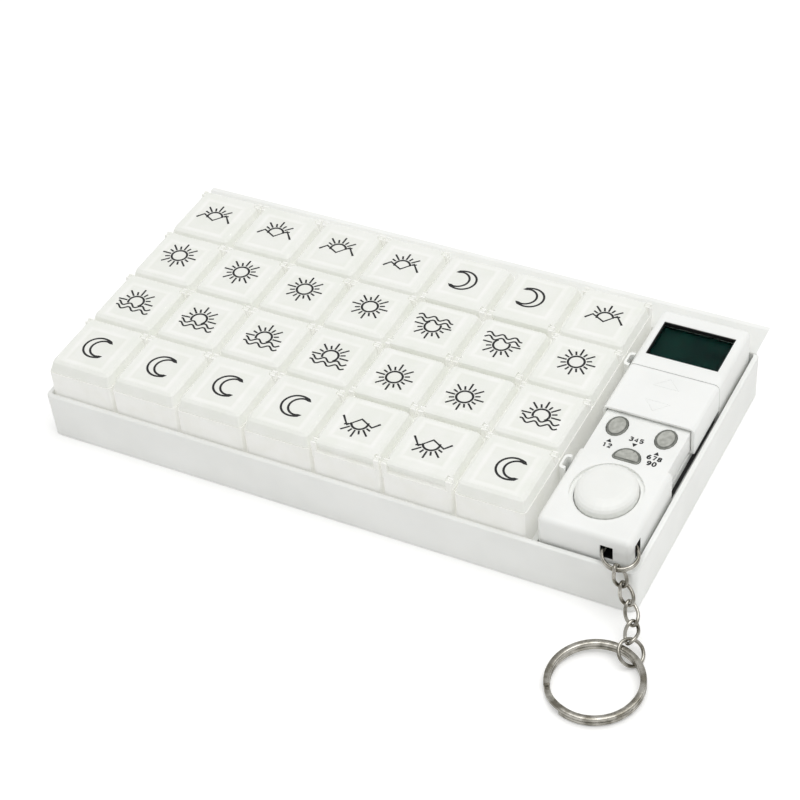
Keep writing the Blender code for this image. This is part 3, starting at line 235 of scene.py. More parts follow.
@dataclass(frozen=True)
class FrostedPlastic(Finish):
    """Frosted polypropylene: milky, with a spark-eroded frost on the surface. Where a rim is
    moulded under a thin plate, a soft paler outline around a slightly greyer middle is painted into
    the colour: painted light that stands in for the way the rim changes the light through the plate.
    A small painted glow, an emission, keeps the shaded sides of the thin walls pale, in place of the
    light that would pass through them. The frost is drawn coarser than it is, so it shows."""

    name: str
    light: str
    dark: str
    ghost_place: Point | None = None
    ghost_half: Point = mm(7.4, 8.7)
    ghost_pitch: Point = mm(26.0, 26.95)
    ghost_soft: float = 1.7 * MM
    painted_rim_light_tones: tuple[tuple[float, str], ...] = (
        (0.0, "F6F7F5"), (0.25, "F5F6F3"), (0.5, "FFFFFF"), (0.62, "FFFFFF"), (0.95, "F8F9F7"))
    cloud_size: float = 7.0 * MM
    clearness: float = 0.04
    depth: float = 0.8 * MM
    painted_glow: float = 0.2
    painted_glow_colour: str = "F7F7F3"
    roughness: Point = (0.36, 0.5)
    frost_size: float = 0.45 * MM
    frost_depth: float = 0.02 * MM

    def lay(self, shader: Node, space: Socket) -> None:
        """Lay the patterns."""
        clouds = add_node(shader, "TexNoise", lumps(self.cloud_size, 4.0), {"Vector": space})
        frost = add_node(shader, "TexNoise", lumps(self.frost_size, 3.0), {"Vector": space})
        colour = lay_patterns(shader, clouds, ((0.38, self.dark), (0.62, self.light)), frost,
                              self.roughness, frost, self.frost_depth)
        # Painted light: paler outlines painted where the rims lie under the plates.
        if self.ghost_place:
            fill_node(shader, links={"Base Color": self.paint_rim_light(space, colour)})
        # The emission is a painted glow, which keeps the shaded walls and gaps pale.
        fill_node(shader, {"IOR": 1.49, "Transmission Weight": self.clearness,
                           "Subsurface Weight": 0.2, "Subsurface Scale": self.depth,
                           "Subsurface Radius": (1.0, 1.0, 0.97),
                           "Emission Color": linear(self.painted_glow_colour),
                           "Emission Strength": self.painted_glow})

    def paint_rim_light(self, space: Socket, colour: Node) -> Node:
        """Paint a pale outline of the rim under each plate into the colour, as painted light for the
        rim showing through.

        Args:
            space: Object coordinates.
            colour: The plastic's own colour.

        Returns:
            The colour with the painted rim outlines in it.
        """
        parts = add_node(colour, "SeparateXYZ", links={"Vector": space}).outputs
        reach = []
        for axis, place, pitch, half in zip("XY", self.ghost_place, self.ghost_pitch, self.ghost_half):
            moved = add_node(colour, "Math", {"operation": 'SUBTRACT', 1: place}, {0: parts[axis]})
            wrapped = add_node(colour, "Math", {"operation": 'WRAP', 1: pitch / 2, 2: -pitch / 2},
                               {0: moved})
            side = add_node(colour, "Math", {"operation": 'ABSOLUTE'}, {0: wrapped})
            reach.append(add_node(colour, "Math", {"operation": 'SUBTRACT', 1: half}, {0: side}))
        outside = add_node(colour, "Math", {"operation": 'MAXIMUM'}, dict(enumerate(reach)))
        soft = {"From Min": -self.ghost_soft, "From Max": self.ghost_soft}
        share = add_node(colour, "MapRange", soft, {"Value": outside})
        tint = add_node(colour, "ValToRGB", {"stops": self.painted_rim_light_tones}, {"Fac": share})
        return add_node(colour, "MixRGB", {"blend_type": 'MULTIPLY', "Fac": 1.0},
                        {"Color1": colour, "Color2": tint})


@dataclass(frozen=True)
class PrintInk(Finish):
    """Pad-printed ink: a thin dense black film, slightly uneven where the pad lifted."""

    name: str = "pad_print_black"
    deep: str = "0C0D0E"
    thin: str = "18191B"
    patch_size: float = 0.8 * MM

    def lay(self, shader: Node, space: Socket) -> None:
        """Lay the patterns."""
        patches = add_node(shader, "TexNoise", lumps(self.patch_size, 3.0), {"Vector": space})
        lay_patterns(shader, patches, ((0.45, self.deep), (0.75, self.thin)), patches, (0.42, 0.6))


@dataclass(frozen=True)
class NickelPlate(Finish):
    """Nickel-plated steel wire: bright, a little warm, with drawing lines, coarser than the real
    ones so that they show, and darker random patches that are painted reflection, standing in
    for dark surroundings mirrored in the wire."""

    name: str = "nickel_plated_steel"
    bright: str = "C4C1B9"
    painted_dark_reflection: str = "827E73"
    patch_size: float = 3.6 * MM
    line_size: float = 0.6 * MM
    line_stretch: Point = (1.0, 1.0, 6.0)
    line_depth: float = 0.008 * MM

    def lay(self, shader: Node, space: Socket) -> None:
        """Lay the patterns."""
        reflection_patches = add_node(shader, "TexNoise", lumps(self.patch_size, 3.0), {"Vector": space})
        drawn = add_node(shader, "Mapping", {"Scale": self.line_stretch}, {"Vector": space})
        lines = add_node(shader, "TexNoise", lumps(self.line_size), {"Vector": drawn})
        # The darker patches are painted reflection of dark surroundings, not wear.
        lay_patterns(shader, reflection_patches, ((0.36, self.painted_dark_reflection), (0.62, self.bright)), reflection_patches, (0.28, 0.14),
                     lines, self.line_depth)
        fill_node(shader, {"Metallic": 1.0})


@dataclass(frozen=True)
class KeyRubber(Finish):
    """Silicone rubber of the small keys: matt grey with a blotchy, slightly rough face."""

    name: str
    light: str
    dark: str
    blotch_size: float = 1.6 * MM
    grain_size: float = 0.35 * MM
    grain_depth: float = 0.03 * MM

    def lay(self, shader: Node, space: Socket) -> None:
        """Lay the patterns."""
        blotches = add_node(shader, "TexNoise", lumps(self.blotch_size, 5.0), {"Vector": space})
        fine = add_node(shader, "TexNoise", lumps(self.grain_size, 3.0), {"Vector": space})
        lay_patterns(shader, blotches, ((0.36, self.dark), (0.64, self.light)), blotches, (0.8, 0.62),
                     fine, self.grain_depth)


@dataclass(frozen=True)
class DisplayGlass(Finish):
    """The unlit liquid-crystal panel: very dark green-black glass that drifts a little in tone, and
    mirrors almost nothing."""

    name: str = "display_panel_glass"
    deep: str = "04201F"
    light: str = "0A2F2A"
    drift_size: float = 9.0 * MM
    film_size: float = 0.5 * MM

    def lay(self, shader: Node, space: Socket) -> None:
        """Lay the patterns."""
        drift = add_node(shader, "TexNoise", lumps(self.drift_size, 1.0), {"Vector": space})
        film = add_node(shader, "TexNoise", lumps(self.film_size), {"Vector": space})
        lay_patterns(shader, drift, ((0.3, self.deep), (0.7, self.light)), film, (0.18, 0.3))
        fill_node(shader, {"Specular IOR Level": 0.03})


@dataclass(frozen=True)
class ClearWindow(Finish):
    """The acrylic window: clear and polished, with a breath of green. Its coating against glare
    lets it mirror very little, so the dark panel reads through it."""

    name: str = "acrylic_window"
    tint: str = "DCE9E4"
    smear_size: float = 5.0 * MM

    def lay(self, shader: Node, space: Socket) -> None:
        """Lay the patterns."""
        smears = add_node(shader, "TexNoise", lumps(self.smear_size, 3.0), {"Vector": space})
        fill_node(shader, {"Base Color": linear(self.tint), "IOR": 1.1, "Transmission Weight": 1.0},
                  {"Roughness": add_node(shader, "MapRange", spread(0.02, 0.06), {"Value": smears})})


@dataclass(frozen=True)
class SolderMask(Finish):
    """The circuit board: green solder mask over copper, with its contact leaves in tinned metal."""

    name: str
    light: str
    dark: str
    leaf: str
    board_low: float
    trace_size: float = 1.8 * MM

    def lay(self, shader: Node, space: Socket) -> None:
        """Lay the patterns, metal below the board's underside and green above it."""
        traces = add_node(shader, "TexNoise", lumps(self.trace_size, 1.0), {"Vector": space})
        mask = lay_patterns(shader, traces, ((0.48, self.dark), (0.52, self.light)), traces,
                            (0.3, 0.45))
        height = add_node(shader, "SeparateXYZ", links={"Vector": space}).outputs["Z"]
        metal = add_node(shader, "Math", {"operation": 'LESS_THAN', 1: self.board_low}, {0: height})
        mix = add_node(shader, "MixRGB", {"Color2": linear(self.leaf)}, {"Fac": metal, "Color1": mask})
        fill_node(shader, links={"Base Color": mix, "Metallic": metal})


@dataclass(frozen=True)
class CellWrap(Finish):
    """A small dry cell: shrunk plastic sleeve in plain black with a copper band at its positive
    end, and bare tinned ends. Its bands lie along Y, between the cell's bare end and its positive
    end."""

    name: str
    bare_end: float
    positive_end: float
    body: str = "1B1C1E"
    band: str = "B87A4B"
    ends: str = "C8C8C4"
    limits: Point = (0.0, 0.02, 0.76, 0.955)
    metal: tuple[str, ...] = ("FFFFFF", "000000", "BFBFBF", "FFFFFF")
    dent_size: float = 3.0 * MM

    def lay(self, shader: Node, space: Socket) -> None:
        """Lay the patterns."""
        along = add_node(shader, "SeparateXYZ", links={"Vector": space}).outputs["Y"]
        share = add_node(shader, "MapRange", {"From Min": self.bare_end, "From Max": self.positive_end},
                         {"Value": along})
        dents = add_node(shader, "TexNoise", lumps(self.dent_size), {"Vector": space})
        bands = (self.ends, self.body, self.band, self.ends)
        colour = lay_patterns(shader, share, tuple(zip(self.limits, bands)), dents, (0.22, 0.36))
        metal = add_node(shader, "ValToRGB", {"stops": tuple(zip(self.limits, self.metal))},
                         {"Fac": share})
        for ramp in (colour, metal):
            ramp.color_ramp.interpolation = 'CONSTANT'
        fill_node(shader, links={"Metallic": metal})


@dataclass(frozen=True)
class TableTop(Finish):
    """Matt white laminate, a little uneven in its sheen. A small glow that only the camera sees lets
    it read as white and keep the object's shadow."""

    name: str = "white_table"
    colour: str = "FBFBFA"
    grain_size: float = 3.0 * MM
    glow: float = 0.2

    def lay(self, shader: Node, space: Socket) -> None:
        """Lay the patterns."""
        fine = add_node(shader, "TexNoise", lumps(self.grain_size), {"Vector": space})
        rays = add_node(shader, "LightPath").outputs["Is Camera Ray"]
        glow = add_node(shader, "Math", {"operation": 'MULTIPLY', 1: self.glow}, {0: rays})
        sheen = add_node(shader, "MapRange", spread(0.8, 0.9), {"Value": fine})
        fill_node(shader, {"Base Color": linear(self.colour), "Emission Color": linear("FFFFFF")},
                  {"Roughness": sheen, "Emission Strength": glow})


def paint(node: str, material: Material) -> None:
    """Give a CAD node its finish.

    Args:
        node: The CAD node.
        material: Its finish.
    """
    item = frame["nodes"][node]
    if not item.material_slots:
        item.data.materials.append(material)
    for slot in item.material_slots:
        slot.material = material
    log.info("finish %s on %s", material.name, node)


def soften(node: str, width: float, segments: int = 2, angle: float = 30.0) -> None:
    """Round the edges of a CAD node with modifiers, its own mesh left as it is.

    Args:
        node: The CAD node.
        width: The width of the rounding, in metres.
        segments: The steps of the rounding.
        angle: Edges that turn by more than this many degrees are rounded.
    """
    item = frame["nodes"][node]
    item.modifiers.new("weld", 'WELD').merge_threshold = 0.002 * MM
    rounding = item.modifiers.new("round", 'BEVEL')
    rounding.width = width
    rounding.segments = segments
    rounding.limit_method = 'ANGLE'
    rounding.angle_limit = math.radians(angle)
    rounding.miter_outer = 'MITER_ARC'
    item.modifiers.new("normals", 'WEIGHTED_NORMAL').keep_sharp = True
    item.data.shade_smooth()


def add_object(name: str, data: bpy.types.ID) -> bpy.types.Object:
    """Put new data into the scene.

    Args:
        name: The object's name.
        data: Its mesh, curve, light or camera.

    Returns:
        The object, at the origin.
    """
    item = bpy.data.objects.new(name, data)
    bpy.context.scene.collection.objects.link(item)
    return item


def keep_piece(name: str, shape: Shape, material: Material, node: str = "",
               smooth: float = 40.0) -> bpy.types.Object:
    """Turn a bmesh into a piece of the scene.

    Args:
        name: The piece's name.
        shape: The finished bmesh, which is freed.
        material: Its finish.
        node: The CAD node on whose body it rides, if it does.
        smooth: Edges that turn by more than this many degrees stay sharp.

    Returns:
        The piece, at the origin.
    """
    mesh = bpy.data.meshes.new(name)
    shape.to_mesh(mesh)
    shape.free()
    mesh.shade_smooth()
    mesh.set_sharp_from_angle(angle=math.radians(smooth))
    mesh.materials.append(material)
    piece = add_object(name, mesh)
    if node:
        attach(piece, frame["nodes"][node]["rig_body"])
    log.info("piece %s on %s: %d faces", name, node or "the floor", len(mesh.polygons))
    return piece


def add_block(shape: Shape, middle: Sequence[float], size: Sequence[float]) -> None:
    """Add a block to a shape, by its middle and its size."""
    bmesh.ops.create_cube(shape, size=1.0,
                          matrix=Matrix.Translation(middle) @ Matrix.Diagonal((*size, 1.0)))


def round_off(shape: Shape, parts: list, offset: float, segments: int = 1,
              affect: str = 'EDGES') -> None:
    """Round some edges or corners of a shape."""
    bmesh.ops.bevel(shape, geom=parts, offset=offset, segments=segments, profile=0.5, affect=affect,
                    material=-1)


def wire_shape(lines: Iterable[Stroke], radius: float, resolution: int = 2) -> Shape:
    """Lay round wires along lines.

    Args:
        lines: Points as x, y, z and a share of the radius, each list with whether it closes.
        radius: The wires' radius, in metres.
        resolution: The steps in a quarter of their section.

    Returns:
        The wires.
    """
    curve = bpy.data.curves.new("wire_line", 'CURVE')
    curve.dimensions = '3D'
    curve.bevel_depth = radius
    curve.bevel_resolution = resolution
    curve.use_fill_caps = True
    for points, closed in lines:
        line = curve.splines.new('POLY')
        line.points.add(len(points) - 1)
        for spot, (x, y, z, share) in zip(line.points, points):
            spot.co = (x, y, z, 1.0)
            spot.radius = share
        line.use_cyclic_u = closed
    guide = add_object("wire_line", curve)
    drawn = guide.evaluated_get(bpy.context.evaluated_depsgraph_get())
    mesh = bpy.data.meshes.new_from_object(drawn)
    shape = bmesh.new()
    shape.from_mesh(mesh)
    bpy.data.objects.remove(guide, do_unlink=True)
    bpy.data.curves.remove(curve)
    bpy.data.meshes.remove(mesh)
    bmesh.ops.remove_doubles(shape, verts=shape.verts, dist=0.001 * MM)
    bmesh.ops.recalc_face_normals(shape, faces=shape.faces)
    return shape


def draw_strokes(strokes: Iterable[Stroke], width: float, flatness: float, place: Matrix) -> Shape:
    """Draw strokes as fine wires that are pressed flat.

    Args:
        strokes: Points as x, y and an optional share of the width, each list with whether it closes.
        width: The stroke's width, in metres.
        flatness: The stroke's height as a share of its width.
        place: Where the drawing's own plane lies.

    Returns:
        The flat wires.
    """
    lines = [([(x, y, 0.0, *(share or (1.0,))) for x, y, *share in points], closed)
             for points, closed in strokes]
    shape = wire_shape(lines, width / 2)
    bmesh.ops.transform(shape, matrix=place @ Matrix.Diagonal((1.0, 1.0, flatness, 1.0)),
                        verts=shape.verts)
    return shape


def around(centre: Point, radius: float, start: float, end: float, steps: int) -> list[Point]:
    """Points along an arc, from one angle to another in degrees."""
    turns = [math.radians(start + (end - start) * step / steps) for step in range(steps + 1)]
    return [(centre[0] + radius * math.cos(turn), centre[1] + radius * math.sin(turn))
            for turn in turns]


class Sign(Enum):
    """The four times of day, from the first lid of a strip to its last."""

    DAWN = 1
    NOON = 2
    DUSK = 3
    NIGHT = 4


@dataclass(frozen=True)
class Sun:
    """One sign's sun: its middle, its disc as an arc from one angle to another in some steps, and
    the angles of its rays, in degrees."""

    place: Point
    disc: tuple[float, float, int]
    long_rays: Point
    short_rays: Point
    whole: bool = False


@dataclass(frozen=True)
class PrintedSigns:
    """The four black line signs on each strip's lids, counted from the middle of a lid's hinge."""

    ink: Material
    stroke: float = 0.8 * MM
    ray_share: float = 0.84
    flatness: float = 0.08
    lift: float = 0.4
    hinge_reach: float = 25.3 * MM
    drift: Point = mm(0.6, 0.9, 1.5, 1.9)
    disc_radius: float = 2.85 * MM
    ray_start: float = 3.5 * MM
    long_ray: float = 6.9 * MM
    short_ray: float = 5.3 * MM
    noon: Sun = Sun(mm(0.5, -10.4), (0.0, 345.0, 23), tuple(range(0, 360, 45)),
                    tuple(22.5 + 45 * number for number in range(8)), True)
    dawn: Sun = Sun(mm(0.45, -12.4), (12.0, 203.0, 16), (45, 90, 135), (68, 112, 156, 24))
    dusk: Sun = Sun(mm(0.4, -12.2), (-46.0, 212.0, 20), (0, 45, 90, 135, 184), (22.5, 67.5, 112.5, 160))
    ridge: tuple[Point, ...] = (mm(-6.2, -14.5), mm(-4.15, -11.9), mm(0.7, -14.5), mm(4.2, -10.2),
                                mm(7.4, -14.1))
    wave_length: float = 4.75 * MM
    wave_height: float = 0.8 * MM
    wave_steps: int = 42
    waves: tuple[Point, ...] = (mm(-5.85, 7.7, -14.5, 1.5), mm(-5.75, 7.85, -16.45, 1.95))
    moon: Point = mm(1.9, -12.1)
    moon_radius: float = 5.05 * MM
    bite: Point = mm(3.6, -12.1)
    bite_radius: float = 4.1 * MM
    moon_steps: tuple[int, int] = (30, 26)
    tip_bold: float = 0.8
    tip_reach: float = 2.0 * MM

    def draw_sun(self, sun: Sun) -> list[Stroke]:
        """A sun's disc and its rays.

        Args:
            sun: The sun.

        Returns:
            Its strokes, the disc first.
        """
        strokes = [(around(sun.place, self.disc_radius, *sun.disc), sun.whole)]
        for angles, end in ((sun.long_rays, self.long_ray), (sun.short_rays, self.short_ray)):
            for turn in map(math.radians, angles):
                strokes.append(([(sun.place[0] + math.cos(turn) * reach,
                                  sun.place[1] + math.sin(turn) * reach, self.ray_share)
                                 for reach in (self.ray_start, end)], False))
        return strokes

    def wave(self, start: float, end: float, level: float, trough: float) -> list[Point]:
        """Points along a wave line.

        Args:
            start: Where the line starts.
            end: Where it ends.
            level: The line's middle height on the lid.
            trough: Where one trough lies.

        Returns:
            The points, with their share of the stroke's width.
        """
        points = []
        for step in range(self.wave_steps + 1):
            x = start + (end - start) * step / self.wave_steps
            y = level - self.wave_height * math.cos(math.tau * (x - trough) / self.wave_length)
            points.append((x, y, self.ray_share))
        return points

    def crescent(self) -> list[Point]:
        """The moon's outline: the outer circle round to the inner one, bolder at its tips.

        Returns:
            The points, with their share of the stroke's width.
        """
        apart = self.bite[0] - self.moon[0]
        far = (self.moon_radius ** 2 - self.bite_radius ** 2 + apart ** 2) / (2 * apart)
        outer = math.degrees(math.acos(far / self.moon_radius))
        inner = math.degrees(math.acos((far - apart) / self.bite_radius))
        back = around(self.moon, self.moon_radius, outer, 360.0 - outer, self.moon_steps[0])
        front = around(self.bite, self.bite_radius, 360.0 - inner, inner, self.moon_steps[1])
        points = []
        for point in back + front[1:-1]:
            nearest = min(math.dist(point, tip) for tip in (back[0], back[-1]))
            points.append((*point, 1.0 + self.tip_bold * max(0.0, 1.0 - nearest / self.tip_reach)))
        return points

    def strokes(self, sign: Sign) -> list[Stroke]:
        """The strokes of one sign.

        Args:
            sign: The time of day.

        Returns:
            Each stroke's points and whether it closes.
        """
        if sign is Sign.NOON:
            return self.draw_sun(self.noon)
        if sign is Sign.DAWN:
            return [(self.ridge, False)] + self.draw_sun(self.dawn)
        if sign is Sign.DUSK:
            return self.draw_sun(self.dusk) + [(self.wave(*wave), False) for wave in self.waves]
        return [(self.crescent(), True)]

    def print_on(self, strip: int, sign: Sign) -> None:
        """Print a sign on one lid.

        Args:
            strip: The strip's number.
            sign: The time of day.
        """
        node = f"lid_{strip}_{sign.value}"
        low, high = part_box(node)
        turned = strip in TURNED_STRIPS
        hinge = high[1] - self.hinge_reach if turned else low[1] + self.hinge_reach
        row = len(Sign) - sign.value if turned else sign.value - 1
        aside = self.drift[row] * (STRIPS[-1] - strip) / (STRIPS[-1] - STRIPS[0])
        film = self.stroke * self.flatness * self.lift
        place = Matrix.Translation(((low[0] + high[0]) / 2 - aside, hinge, high[2] + film))
        if turned:
            place = place @ Matrix.Rotation(math.pi, 4, 'Z')
        shape = draw_strokes(self.strokes(sign), self.stroke, self.flatness, place)
        keep_piece(f"sign_{strip}_{sign.value}", shape, self.ink, node)


@dataclass(frozen=True)
class TrayDressing:
    """The tray and its seven lidded strips."""

    finishes: dict[str, Material]
    tray_round: float = 0.6 * MM
    strip_round: float = 0.2 * MM
    lid_angle: float = 24.0
    sill_inset: float = 1.1 * MM
    sill: Point = mm(21.2, 1.1, 1.6)
    sill_top: float = 28.1 * MM
    sill_round: float = 0.12 * MM

    def dress(self) -> None:
        """Round the edges and give the finishes."""
        paint("tray", self.finishes["white"])
        soften("tray", self.tray_round, segments=3)
        for strip in STRIPS:
            paint(f"strip_{strip}", self.finishes["strip"])
            soften(f"strip_{strip}", self.strip_round)
            self.add_sill(strip)
            for row in Sign:
                lid = f"lid_{strip}_{row.value}"
                paint(lid, self.finishes["turned_lid" if strip in TURNED_STRIPS else "lid"])
                soften(lid, self.strip_round, angle=self.lid_angle)

    def add_sill(self, strip: int) -> None:
        """Add the moulded sill inside a strip's hinged end, which closes the slot under its lid.

        Args:
            strip: The strip's number.
        """
        low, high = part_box(f"strip_{strip}")
        inset = self.sill_inset + self.sill[1] / 2
        wall = low[1] + inset if strip in TURNED_STRIPS else high[1] - inset
        shape = bmesh.new()
        add_block(shape, ((low[0] + high[0]) / 2, wall, self.sill_top - self.sill[2] / 2), self.sill)
        round_off(shape, shape.edges[:], self.sill_round, segments=2)
        keep_piece(f"sill_{strip}", shape, self.finishes["strip"], f"strip_{strip}")


def heading_vector(lean: float, heading: float) -> Vector:
    """A direction that leans from straight down towards a heading."""
    side = math.sin(lean)
    return Vector((side * math.cos(heading), side * math.sin(heading), -math.cos(lean)))


def beside(heading: float) -> Vector:
    """The level direction to the left of a heading."""
    return Vector((-math.sin(heading), math.cos(heading), 0.0))


def frame_on(direction: Vector, across: Vector) -> Matrix:
    """Turn a frame onto a direction.

    Args:
        direction: Where its X points.
        across: What its Y lies near.

    Returns:
        The turn.
    """
    x = direction.normalized()
    y = (across - x * across.dot(x)).normalized()
    return Matrix((x, y, x.cross(y))).transposed()


@dataclass(frozen=True)
class Keychain:
    """The ring in the timer's corner, the twisted links, the jump ring and the split ring.

    Wires are given by their radius. A heading is counted from +X and a lean from straight down. The
    split ring's runs each have their degrees, their steps and the share of the climb at each step.
    """

    material: Material
    timer_front: Vector
    timer_width: float
    ring_radius: float = 5.7 * MM
    ring_wire: float = 0.7 * MM
    ring_sides: int = 16
    ring_steps: int = 72
    coil_wire: float = 0.56 * MM
    coil_spread: float = 0.4 * MM
    ring_tilt: float = math.radians(9)
    ring_heading: float = math.radians(-80)
    ring_inset: Point = mm(-3.7, 0.6, 21.8)
    link_length: float = 9.0 * MM
    link_width: float = 5.2 * MM
    link_wire: float = 0.6 * MM
    link_steps: int = 72
    link_twist: float = math.radians(97)
    link_slack: float = 0.25 * MM
    link_leans: Point = tuple(map(math.radians, (26, 38, 55, 73)))
    link_headings: Point = tuple(map(math.radians, (-19, -35, -56, -83)))
    link_roundness: float = 0.8
    jump_radius: float = 4.3 * MM
    jump_wire: float = 0.6 * MM
    jump_cut: float = 2.0
    jump_tilt: float = math.radians(-37)
    jump_heading: float = math.radians(-112)
    jump_turn: float = math.radians(68)
    jump_play: float = 0.9 * MM
    split_radius: float = 14.8 * MM
    split_width: float = 2.0 * MM
    split_height: float = 1.4 * MM
    split_gap: float = 0.2 * MM
    split_lift: float = math.radians(2.9)
    split_edge: float = 0.35 * MM
    split_runs: tuple[tuple[float, int, float], ...] = (
        (320, 80, 0.0), (10, 5, 0.03), (20, 10, 0.07), (10, 5, 0.03), (320, 80, 0.0))

    def build(self) -> None:
        """Make every ring and link at its place."""
        centre = self.timer_front + Vector((self.timer_width / 2, 0.0, 0.0)) + Vector(self.ring_inset)
        outward = heading_vector(math.pi / 2 - self.ring_tilt, self.ring_heading)
        tip_across = beside(self.ring_heading)
        coils = self.ring_shape(self.ring_radius, self.coil_wire, 0.0, self.coil_spread)
        self.keep("corner_ring", coils, centre, frame_on(outward, tip_across))
        pivot = centre + outward * self.ring_radius
        start = self.ring_wire + self.link_wire + self.link_slack
        span = self.link_length - self.link_wire * 2
        for number, (lean, heading) in enumerate(zip(self.link_leans, self.link_headings), 1):
            direction = heading_vector(lean, heading)
            turn = frame_on(direction, direction.cross(tip_across))
            self.keep(f"chain_link_{number}", self.link_shape(start), pivot, turn)
            tip_across = Matrix.Rotation(self.link_twist, 3, direction) @ turn.col[1]
            pivot = pivot + direction * (span - start)
            start = self.link_wire * 2 + self.link_slack
        self.build_rings(pivot)

    def build_rings(self, pivot: Vector) -> None:
        """Make the jump ring on the last link's tip, and the split ring that it holds.

        Args:
            pivot: The last link's tip.
        """
        ahead = heading_vector(math.pi / 2, self.jump_heading)
        across = Matrix.Rotation(self.jump_tilt, 3, ahead) @ beside(self.jump_heading)
        turn = frame_on(ahead, across) @ Matrix.Rotation(self.jump_turn, 3, 'Z')
        reach = self.jump_radius - self.jump_wire - self.link_wire - self.link_slack
        middle = pivot + turn @ Vector((reach, 0.0, 0.0))
        self.keep("jump_ring", self.ring_shape(self.jump_radius, self.jump_wire, self.jump_cut), middle,
                  turn)
        hold = middle + ahead * self.jump_play
        level = Vector((0.0, 0.0, 1.0)).cross(ahead)
        turn = frame_on(Matrix.Rotation(self.split_lift, 3, level) @ ahead, level)
        self.keep("split_ring", self.split_shape(), hold + turn @ Vector((self.split_radius, 0.0, 0.0)),
                  turn)

    def keep(self, node: str, shape: Shape, place: Vector, turn: Matrix) -> None:
        """Place a ring or link and let it stand for its CAD node.

        Args:
            node: The CAD node.
            shape: The ring or link about its own middle or pivot.
            place: Where that middle or pivot lies.
            turn: How it is turned.
        """
        bmesh.ops.transform(shape, matrix=Matrix.Translation(place) @ turn.to_4x4(), verts=shape.verts)
        piece = keep_piece(node + "_wire", shape, self.material, node, smooth=50.0)
        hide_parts(node)

    def ring_shape(self, radius: float, wire: float, cut: float, apart: float = 0.0) -> Shape:
        """Make a wire ring about its own middle, of one coil or of two side by side.

        Args:
            radius: The ring's radius.
            wire: The wire's radius.
            cut: The degrees that are cut out of it, or 0 for a closed ring.
            apart: How far each of two coils lies from the ring's middle plane.

        Returns:
            The ring.
        """
        shape = bmesh.new()
        for level in sorted({-apart, apart}):
            place = Matrix.Translation((radius, 0.0, level)) @ Matrix.Rotation(math.pi / 2, 4, 'X')
            made = bmesh.ops.create_circle(shape, segments=self.ring_sides, radius=wire, matrix=place)
            fresh = set(made["verts"])
            edges = [edge for edge in shape.edges if edge.verts[0] in fresh]
            bmesh.ops.spin(shape, geom=edges + made["verts"], axis=(0.0, 0.0, 1.0),
                           cent=(0.0, 0.0, 0.0), angle=math.radians(360.0 - cut),
                           steps=self.ring_steps, use_merge=not cut)
        close_shape(shape)
        return shape

    def link_shape(self, start: float) -> Shape:
        """Make a twisted wire link.

        Args:
            start: How far its near end lies behind its pivot.

        Returns:
            The link about its pivot.
        """
        half = self.link_length / 2 - self.link_wire
        wide = self.link_width / 2 - self.link_wire
        points = []
        for number in range(self.link_steps):
            turn = math.tau * number / self.link_steps
            along = 1.0 - math.cos(turn)
            aside = wide * math.copysign(abs(math.sin(turn)) ** self.link_roundness, math.sin(turn))
            twist = self.link_twist * along / 2
            points.append((half * along - start, aside * math.cos(twist), aside * math.sin(twist), 1.0))
        return wire_shape([(points, True)], self.link_wire, resolution=4)

    def split_shape(self) -> Shape:
        """Make two turns of flat wire about their middle, with the step between them and both ends.

        Returns:
            The split ring.
        """
        shape = bmesh.new()
        climb = self.split_height + self.split_gap
        place = Matrix.Translation((self.split_radius, 0.0, -climb / 2))
        section = Matrix.Diagonal((self.split_width / 2, self.split_height / 2, 1.0, 1.0))
        bmesh.ops.create_grid(shape, x_segments=1, y_segments=1, size=1.0,
                              matrix=place @ Matrix.Rotation(math.pi / 2, 4, 'X') @ section)
        round_off(shape, shape.verts[:], self.split_edge, segments=3, affect='VERTICES')
        bmesh.ops.delete(shape, geom=shape.faces[:], context='FACES_ONLY')
        geometry = shape.edges[:] + shape.verts[:]
        for degrees, steps, share in self.split_runs:
            made = bmesh.ops.spin(shape, geom=geometry, axis=(0.0, 0.0, 1.0), cent=(0.0, 0.0, 0.0),
                                  angle=math.radians(degrees), steps=steps,
                                  dvec=(0.0, 0.0, climb * share))
            geometry = made["geom_last"]
        close_shape(shape)
        return shape


def close_shape(shape: Shape) -> None:
    """Close the open ends of a wire and turn its faces outwards."""
    bmesh.ops.holes_fill(shape, edges=[edge for edge in shape.edges if edge.is_boundary], sides=0)
    bmesh.ops.recalc_face_normals(shape, faces=shape.faces)


